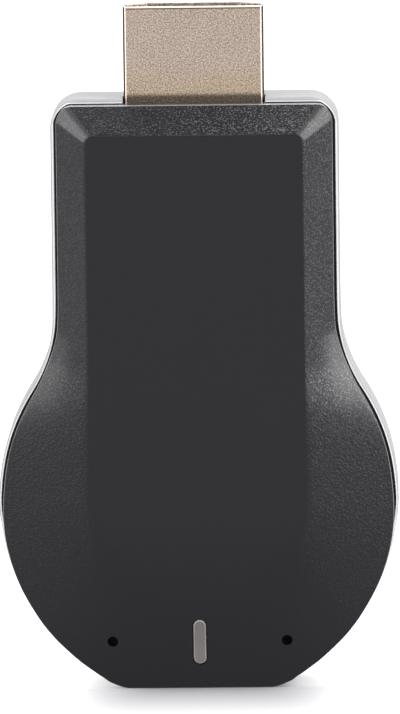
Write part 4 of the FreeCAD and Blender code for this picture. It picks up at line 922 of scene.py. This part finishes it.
def plug_profile(grow, radius):
    """The plug's outline in X and Y: wide to the front, slanted corners behind."""
    size = details()
    half = PLUG_HIGH.x
    narrow = size.plug_narrow / 2
    front = PLUG_LOW.y
    rear = PLUG_HIGH.y
    bend = front + size.plug_side
    slant = math.atan2(half - narrow, rear - bend)
    to_rear = grow * math.tan((math.pi / 2 - slant) / 2)
    to_bend = grow * math.tan(slant / 2)
    corners = [(half + grow, front - grow), (half + grow, bend + to_bend), (narrow + to_rear, rear + grow)]
    return rounded(both_sides(corners), radius)


def power_profile(grow, radius):
    """The power socket's outline in X and Y; its bevelled corners are next to the board."""
    size = details()
    half = POWER_HIGH.x
    narrow = half - size.power_bevel
    near = POWER_LOW.y
    far = POWER_HIGH.y
    turn = math.tan(math.pi / 8)  # the bevels slant by 45 degrees
    corners = [(narrow + grow * turn, near - grow), (half + grow, near + size.power_bevel - grow * turn),
               (half + grow, far + grow)]
    return rounded(both_sides(corners), radius)


def upright(x, y, z):
    return Vector((x, y, z))


class ADAPTER_OT_rear_cover(Operator):
    """Glossy rear cover with its openings for the plug, power socket and button"""
    bl_idname = "adapter.rear_cover"
    bl_label = "Rear Cover"

    def execute(self, context):
        cover = skin("rear_shell", rear_cover_rings())
        plug = plug_profile(0.1 * MM, 0.4 * MM)
        plug = [(x, y if y > PARTING + 0.6 * MM else PARTING - 1 * MM) for x, y in plug]
        size = details()
        wall = form().wall
        key = pill(KEY_MIDDLE, size.key_wide + 2 * size.fit, size.key_tall + 2 * size.fit)
        side = -REAR_HIGH.x + (FRONT_HIGH.x - form().neck_half)
        carve(cover, [
            prism("plug_cutter", plug, upright, FRONT_HIGH.z - 2.8 * MM, REAR_HIGH.z + 1 * MM),
            prism("power_cutter", power_profile(0.1 * MM, 0.25 * MM), upright, -1 * MM, wall + 0.5 * MM),
            prism("button_cutter", key, lambda y, z, x: Vector((x, y, z)), side + 2 * wall, side - 0.4 * MM,
                  0.5 * MM, side + 0.1 * MM),
        ])
        smooth(cover, 30.0)
        settle(cover, pale_gloss(), "pale_gloss_plastic", "housing", "rear_cover")
        return {"FINISHED"}


# Plug, socket, bar and button

def sleeve(name, profile, sheet, corner, low, high, lip):
    """A sheet-metal sleeve standing upright, with rolled edges at both ends."""
    chain = []
    inner_corner = max(corner - sheet, 0.08 * MM)
    for end, sign in ((low, 1), (high, -1)):
        outer = [(-inset, end + sign * drop) for inset, drop in quarter(lip, range(0, 91, 30))]
        inner = [(-sheet - grow, level) for grow, level in outer]
        for grow, level in (inner[::-1] + outer if sign == 1 else outer[::-1] + inner):
            radius = corner + (inner_corner - corner) * (-grow / sheet)
            chain.append([Vector((x, y, level)) for x, y in profile(grow, radius)])
    return skin(name, chain, closed=True)


class ADAPTER_OT_plug(Operator):
    """Blasted metal shell of the video plug, with the seam at its rear"""
    bl_idname = "adapter.plug"
    bl_label = "Plug Shell"

    def execute(self, context):
        size = details()
        shell = sleeve("plug_shell", plug_profile, size.sheet, size.plug_round, PLUG_LOW.z, PLUG_HIGH.z,
                       0.1 * MM)
        inside, outside = PLUG_HIGH.y - 0.06 * MM, PLUG_HIGH.y + 0.1 * MM
        seam = [(-0.03 * MM, inside), (0.03 * MM, inside), (0.05 * MM, outside), (-0.05 * MM, outside)]
        carve(shell, [prism("seam_cutter", seam, upright, PLUG_LOW.z - 1 * MM, PLUG_HIGH.z + 1 * MM)])
        smooth(shell, 40.0)
        settle(shell, blasted_metal(), "plug_metal", "housing", "hdmi_shell")
        return {"FINISHED"}


class ADAPTER_OT_power_socket(Operator):
    """Plated shell of the power socket in the chin"""
    bl_idname = "adapter.power_socket"
    bl_label = "Power Socket"

    def execute(self, context):
        size = details()
        shell = sleeve("power_shell", power_profile, size.power_sheet, 0.3 * MM, POWER_LOW.z, POWER_HIGH.z,
                       0.08 * MM)
        smooth(shell, 40.0)
        settle(shell, sheet_metal("power_shell_metal", (0.55, 0.55, 0.54), 0.3, (6000.0, 6000.0, 300.0)),
               "tin_can", "housing", "micro_usb_shell")
        return {"FINISHED"}


class ADAPTER_OT_light_bar(Operator):
    """Translucent light bar with a bevelled rim, following the front face"""
    bl_idname = "adapter.light_bar"
    bl_label = "Light Bar"

    def execute(self, context):
        size = details()
        centre = (0.0, BAR_MIDDLE)
        flange = BAR_HIGH.z - BAR_LOW.z - size.bar_height
        chain = []

        def ring(grow, depth):
            outline = pill(centre, size.bar_width + 2 * grow, size.bar_height + 2 * grow)
            chain.append(at_depth(outline, depth))

        back = BAR_HIGH.y
        flange_front = PARTING - 0.3 * MM
        flange_back = flange_front + 0.6 * MM
        outline = pill(centre, size.bar_width, size.bar_height)
        reach = (size.bar_height - size.bar_width) / 2
        middle = spine(outline, centre[1] - reach, centre[1] + reach)
        chain.append(at_depth(middle, back))
        ring(0.0, back)
        ring(0.0, flange_back)
        ring(flange / 2, flange_back)
        ring(flange / 2, flange_front)
        ring(0.0, flange_front)
        bevel = size.bar_bevel
        for inset, drop in ((0.0, 0.6), (0.12, 0.42), (0.85, 0.06), (1.0, 0.02)):
            ring(-inset * bevel, lambda x, z, drop=drop: crown_depth(z) + drop * bevel)
        inset = pill(centre, size.bar_width - 2.3 * bevel, size.bar_height - 2.3 * bevel)
        for share in (0.0, 0.6, 1.0):
            chain.append(at_depth(blend(inset, middle, share), lambda x, z: crown_depth(z) + 0.02 * bevel))
        bar = skin("light_bar", chain)
        smooth(bar, 35.0)
        settle(bar, light_bar_resin(), "light_bar", "housing", "light_guide")
        return {"FINISHED"}


class ADAPTER_OT_button(Operator):
    """Function button with a rounded, slightly dished key, its flange and nub"""
    bl_idname = "adapter.button"
    bl_label = "Function Button"

    def execute(self, context):
        size = details()
        face = KEY_LOW.x
        nub = KEY_HIGH.x
        nub_radius = 0.4 * MM
        flange_in = nub - 0.2 * MM
        flange_out = flange_in - 0.3 * MM
        flange_beside, flange_above = 0.25 * MM, 0.5 * MM
        chain = []

        def ring(outline, level):
            chain.append([Vector((level, y, z)) for y, z in outline])

        def outline_at(beside, above=None):
            """The key's outline, moved outwards beside it and above and below it."""
            above = beside if above is None else above
            return pill(KEY_MIDDLE, size.key_wide + 2 * beside, size.key_tall + 2 * above)

        dish = 0.07 * MM
        brim = outline_at(-0.3 * MM)
        bottom = spine(brim, KEY_MIDDLE[1] - 1.2 * MM, KEY_MIDDLE[1] + 1.2 * MM, KEY_MIDDLE[0])
        for share in (1.0, 0.6, 0.25):
            ring(blend(brim, bottom, share), face + dish * (0.4 + 0.6 * share))
        ring(brim, face + 0.01 * MM)
        for inset, drop in quarter(0.2 * MM, (0, 25, 50, 75, 90)):
            ring(outline_at(-inset), face + drop)
        ring(outline_at(0.0), flange_out)
        ring(outline_at(flange_beside, flange_above), flange_out)
        ring(outline_at(flange_beside, flange_above), flange_in)
        disc = []
        for y, z in outline_at(0.0):
            turn = math.atan2(z - KEY_MIDDLE[1], y - KEY_MIDDLE[0])
            disc.append((KEY_MIDDLE[0] + nub_radius * math.cos(turn), KEY_MIDDLE[1] + nub_radius * math.sin(turn)))
        ring(disc, flange_in)
        ring(disc, nub)
        ring([KEY_MIDDLE] * len(disc), nub)
        key = skin("button_key", chain)
        smooth(key, 35.0)
        settle(key, moulded("button_plastic", tuple(finish_colours().key), 0.38, 0.1, 0.004), "button_plastic",
               "button", "function_button")
        return {"FINISHED"}


# Contacts

def contact_strip(name, path, width, sheet):
    """One bent contact: a strip of sheet along a path in Y and Z, centred on X, with its edges eased."""
    mesh = bmesh.new()
    rails = [[mesh.verts.new((0.0, depth + side * sheet / 2, height)) for depth, height in path]
             for side in (-1, 1)]
    for step in range(len(path) - 1):
        mesh.faces.new((rails[0][step], rails[0][step + 1], rails[1][step + 1], rails[1][step]))
    grown_faces = bmesh.ops.extrude_face_region(mesh, geom=mesh.faces[:])
    moved = [item for item in grown_faces["geom"] if isinstance(item, bmesh.types.BMVert)]
    for vert in mesh.verts:
        vert.co.x = -width / 2
    for vert in moved:
        vert.co.x = width / 2
    bmesh.ops.recalc_face_normals(mesh, faces=mesh.faces)
    outer = [edge for edge in mesh.edges if edge.calc_face_angle(0.0) > 1.0]
    bmesh.ops.bevel(mesh, geom=outer, offset=0.03 * MM, segments=2, affect="EDGES", profile=0.5)
    return as_object(name, mesh)


def contact_row_tree():
    """Geometry nodes that repeat the contact they are given along a row in X."""
    tree = bpy.data.node_groups.new("contact_row", "GeometryNodeTree")
    kinds = {"Geometry": "NodeSocketGeometry", "Count": "NodeSocketInt", "Pitch": "NodeSocketFloat",
             "Material": "NodeSocketMaterial"}
    for name, kind in kinds.items():
        tree.interface.new_socket(name=name, in_out="INPUT", socket_type=kind)
    tree.interface.new_socket(name="Geometry", in_out="OUTPUT", socket_type="NodeSocketGeometry")
    row = Tree(tree)
    contact, count, pitch, material = [row.node("NodeGroupInput", {}, {}, name) for name in kinds]
    first = (count - 1) * pitch * -0.5
    start, offset = [row.node("ShaderNodeCombineXYZ", {}, {"X": along}) for along in (first, pitch)]
    points = row.node("GeometryNodeMeshLine", {"mode": "OFFSET"},
                      {"Count": count, "Start Location": start, "Offset": offset})
    copies = row.node("GeometryNodeInstanceOnPoints", {}, {"Points": points, "Instance": contact})
    solid = row.node("GeometryNodeRealizeInstances", {}, {"Geometry": copies})
    dressed = row.node("GeometryNodeSetMaterial", {}, {"Geometry": solid, "Material": material})
    tree.links.new(dressed.socket, tree.nodes.new("NodeGroupOutput").inputs["Geometry"])
    return tree


def repeat(thing, tree, count, pitch, material):
    """Runs the row's nodes on one contact and keeps the result as a plain mesh."""
    row = thing.modifiers.new("row", "NODES")
    row.node_group = tree
    values = {"Count": count, "Pitch": pitch, "Material": material}
    for item in tree.interface.items_tree:
        if item.in_out == "INPUT" and item.name in values:
            row[item.identifier] = values[item.name]
    bake_modifiers(thing)


class ADAPTER_OT_contacts(Operator):
    """Gold contacts of the video plug and the power socket, in rows"""
    bl_idname = "adapter.contacts"
    bl_label = "Contacts"

    def execute(self, context):
        size = details()
        gold = sheet_metal("contact_gold", (0.80, 0.55, 0.20), 0.24, (6000.0, 6000.0, 500.0))
        tree = contact_row_tree()

        def lay(name, node, path, width, sheet, count, pitch):
            row = contact_strip(name, path, width, sheet)
            repeat(row, tree, count, pitch, gold)
            smooth(row, 50.0)
            settle(row, gold, "contact_gold", "housing", node)

        for node, name, count, hand in (("hdmi_front_contacts", "front_contact_row", size.front_contacts, -1),
                                        ("hdmi_rear_contacts", "rear_contact_row", size.rear_contacts, 1)):
            low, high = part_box(node)
            # From the tail on the board up to the seat in the insulator, with a bow that springs
            seat = (low.y if hand < 0 else high.y) - hand * 0.1 * MM
            tail = seat - hand * 0.55 * MM
            crest = seat - hand * 0.25 * MM
            board_top = low.z + 2.0 * MM
            bow = high.z - 5.6 * MM
            path = [(tail, low.z + 0.01 * MM), (tail, board_top + 0.2 * MM), (seat, board_top + 0.65 * MM),
                    (seat, bow), (crest, bow + 2 * MM), (crest, bow + 3 * MM), (seat, bow + 5 * MM),
                    (seat, high.z - 0.01 * MM)]
            lay(name, node, path, 0.43 * MM, 0.18 * MM, count, size.pitch)
        low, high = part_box("micro_usb_contacts")
        middle = (low.y + high.y) / 2
        lay("power_contact_row", "micro_usb_contacts",
            [(middle, low.z), (middle, (low.z + high.z) / 2), (middle, high.z)], 0.28 * MM, high.y - low.y,
            size.power_contacts, size.power_pitch)
        return {"FINISHED"}


class ADAPTER_OT_inner_parts(Operator):
    """Materials of the frame's own pieces: the insulators, board, chips, cans and switch"""
    bl_idname = "adapter.inner_parts"
    bl_label = "Inner Parts"

    def execute(self, context):
        black = moulded("insulator_black", (0.008, 0.008, 0.009), 0.42)
        chip = moulded("chip_epoxy", (0.012, 0.012, 0.013), 0.5, 0.05, 0.004)
        tin = sheet_metal("tinned_sheet", (0.62, 0.62, 0.60), 0.32)
        dark = moulded("coated_part", (0.02, 0.02, 0.022), 0.45, 0.08)
        board = board_laminate()
        ceramic = speckled_ceramic()
        finishes = {
            "hdmi_insulator": black, "plug_collar": black, "micro_usb_tongue": black, "switch_body": black,
            "circuit_board": board, "wifi_board": board, "processor_chip": chip, "memory_chip": chip,
            "flash_chip": chip, "voltage_regulator": chip, "chip_antennas": ceramic,
            "ceramic_capacitors": ceramic, "chip_resistors": dark, "power_inductor": dark,
            "bulk_capacitor": moulded("tantalum_case", (0.55, 0.28, 0.03), 0.4, 0.1),
            "wifi_can": tin, "crystal_can": tin, "switch_frame": tin,
            "status_led": moulded("lamp_resin", (0.75, 0.74, 0.62), 0.15, 0.2, 0.002),
            "thermal_pad": moulded("thermal_rubber", (0.18, 0.22, 0.28), 0.7, 0.15, 0.01),
            "heat_spreader": sheet_metal("spreader_aluminium", (0.72, 0.73, 0.74), 0.35),
            "switch_plunger": moulded("plunger_plastic", (0.70, 0.70, 0.66), 0.4, 0.08),
        }
        for node, material in finishes.items():
            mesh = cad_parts[node].data
            mesh.materials.clear()
            mesh.materials.append(material)
        return {"FINISHED"}


# The stage

def view_rays(paint):
    """1 for what the camera sees, and 1 for what mirrors and glass see; both are 0 for what lights the object."""
    camera, glossy, clear = [paint.node("ShaderNodeLightPath", {}, {}, "Is %s Ray" % kind)
                             for kind in ("Camera", "Glossy", "Transmission")]
    return camera, glossy.most(clear)


def make_floor():
    """A pale floor with a shadow at the object's foot, partly real and partly a painted shadow in the glow that the
    camera sees, which fades to white round it; under the overhangs beside the foot the glow is painted lighter.
    """
    floor_mesh = bmesh.new()
    bmesh.ops.create_grid(floor_mesh, x_segments=8, y_segments=8, size=3.0)
    bmesh.ops.translate(floor_mesh, verts=floor_mesh.verts, vec=(0.0, 0.0, -0.02 * MM))
    floor = as_object("floor", floor_mesh)
    paint = Paint("pale_floor", Base_Color=(0.44, 0.44, 0.455, 1.0), Roughness=0.7, Specular_IOR_Level=0.2,
                  Emission_Strength=1.0)
    # The painted shadow and painted light below centre a little right of the object's middle
    across = paint.axis("X") - 0.7 * MM
    behind = paint.axis("Y")
    away = behind.size()
    # Painted light: the camera sees the floor lighter under the overhangs beside the foot, over their real shade
    painted_light_beneath = across.size().ramp(6 * MM, 9.5 * MM, 0.0, 0.2) * behind.ramp(-3.9 * MM, -1.2 * MM)
    # Painted shadow: the glow that the camera sees is held back round the foot and grows away from it
    beside = (across * 80.0) ** 2
    near = (beside ** 3 + (away * 50.0) ** 3) ** (1 / 3)
    near = ((near - 0.19) * 0.75).most(0.0).least(0.62)
    reach = (across * across + away * away) ** 0.5
    far = reach.ramp(60 * MM, 260 * MM, 0.0, 0.4)
    camera, mirrors = view_rays(paint)
    # Mirrors see the floor's glow a little darker near the foot, a painted shade in reflections
    glow = (near + far + painted_light_beneath) * camera + mirrors * reach.ramp(10 * MM, 120 * MM, 0.5, 0.66)
    floor.data.materials.append(paint.feed(Emission_Color=paint.mix(glow, (0, 0, 0), (1, 1, 1))))


def make_world():
    world = bpy.data.worlds.new("studio")
    bpy.context.scene.world = world
    world.use_nodes = True
    tree = world.node_tree
    background = tree.nodes["Background"]
    background.inputs["Color"].default_value = (1.0, 1.0, 1.0, 1.0)
    camera, mirrors = view_rays(Tree(tree))
    strength = camera.most(mirrors) * 0.5 + 0.5
    tree.links.new(strength.socket, background.inputs["Strength"])


# name, azimuth and elevation in degrees, distance, width and height in metres, brightness against white
SOFTBOXES = (
    ("right_softbox", 67.0, 26.0, 0.9, 0.85, 0.78, 3.0),
    ("left_softbox", -67.0, 26.0, 0.9, 0.85, 0.78, 2.1),
    ("front_softbox", -5.0, 28.0, 1.1, 0.9, 0.85, 0.75),
    ("back_softbox", 180.0, 46.0, 1.2, 1.0, 0.6, 3.3),
)


def direction(azimuth, elevation):
    """The way out from the object at an azimuth, from the front towards its right, and an elevation."""
    flat = math.cos(elevation)
    return Vector((math.sin(azimuth) * flat, -math.cos(azimuth) * flat, math.sin(elevation)))


def make_lamps():
    middle = Vector((0.0, 0.0, 33 * MM))
    for name, azimuth, elevation, distance, width, height, brightness in SOFTBOXES:
        lamp = bpy.data.lights.new(name, "AREA")
        lamp.shape = "RECTANGLE"
        lamp.size = width
        lamp.size_y = height
        lamp.energy = 4 * width * height * brightness
        holder = linked(name, lamp)
        out = direction(math.radians(azimuth), math.radians(elevation))
        holder.location = middle + out * distance
        holder.rotation_euler = out.to_track_quat("Z", "Y").to_euler()


def make_camera():
    stage = bpy.context.scene.adapter_stage
    lens = bpy.data.cameras.new("camera")
    lens.lens = stage.lens
    lens.sensor_width = 36.0
    lens.clip_start = 0.05
    lens.clip_end = 20.0
    camera = linked("camera", lens)
    back = direction(stage.azimuth, stage.elevation)
    camera.location = Vector((stage.aim_across, 0.0, stage.aim_up)) + back * stage.distance
    camera.rotation_mode = "QUATERNION"
    camera.rotation_quaternion = Quaternion(back, -stage.lean) @ (-back).to_track_quat("-Z", "Y")
    bpy.context.scene.camera = camera


class ADAPTER_OT_stage(Operator):
    """Pale floor, soft studio light and the photograph's camera"""
    bl_idname = "adapter.stage"
    bl_label = "Stage"

    def execute(self, context):
        make_floor()
        make_world()
        make_lamps()
        make_camera()
        context.scene.view_settings.view_transform = "Standard"
        return {"FINISHED"}


class ADAPTER_PT_pieces(Panel):
    """Lists the pieces and their sizes"""
    bl_label = "Display Adapter"
    bl_idname = "ADAPTER_PT_pieces"
    bl_space_type = "VIEW_3D"
    bl_region_type = "UI"
    bl_category = "Adapter"

    def draw(self, context):
        for maker in OPERATORS:
            self.layout.operator(maker.bl_idname)
        for group in GROUPS:
            settings = getattr(context.scene, group)
            box = self.layout.box()
            for name in settings.bl_rna.properties.keys():
                if name not in ("rna_type", "name"):
                    box.prop(settings, name)


GROUPS = {
    "adapter_form": AdapterForm,
    "adapter_details": AdapterDetails,
    "adapter_finish": AdapterFinish,
    "adapter_stage": AdapterStage,
}
OPERATORS = (
    ADAPTER_OT_front_cover,
    ADAPTER_OT_rear_cover,
    ADAPTER_OT_plug,
    ADAPTER_OT_light_bar,
    ADAPTER_OT_button,
    ADAPTER_OT_power_socket,
    ADAPTER_OT_contacts,
    ADAPTER_OT_inner_parts,
    ADAPTER_OT_stage,
)


def register():
    for made in (*GROUPS.values(), *OPERATORS, ADAPTER_PT_pieces):
        bpy.utils.register_class(made)
    for name, group in GROUPS.items():
        setattr(bpy.types.Scene, name, PointerProperty(type=group))


def unregister():
    for name in GROUPS:
        delattr(bpy.types.Scene, name)
    for made in (ADAPTER_PT_pieces, *reversed(OPERATORS), *reversed(tuple(GROUPS.values()))):
        bpy.utils.unregister_class(made)


def main():
    register()
    bpy.ops.adapter.front_cover()
    bpy.ops.adapter.rear_cover()
    bpy.ops.adapter.plug()
    bpy.ops.adapter.light_bar()
    bpy.ops.adapter.button()
    bpy.ops.adapter.power_socket()
    bpy.ops.adapter.contacts()
    bpy.ops.adapter.inner_parts()
    bpy.ops.adapter.stage()


if __name__ == "__main__":
    main()
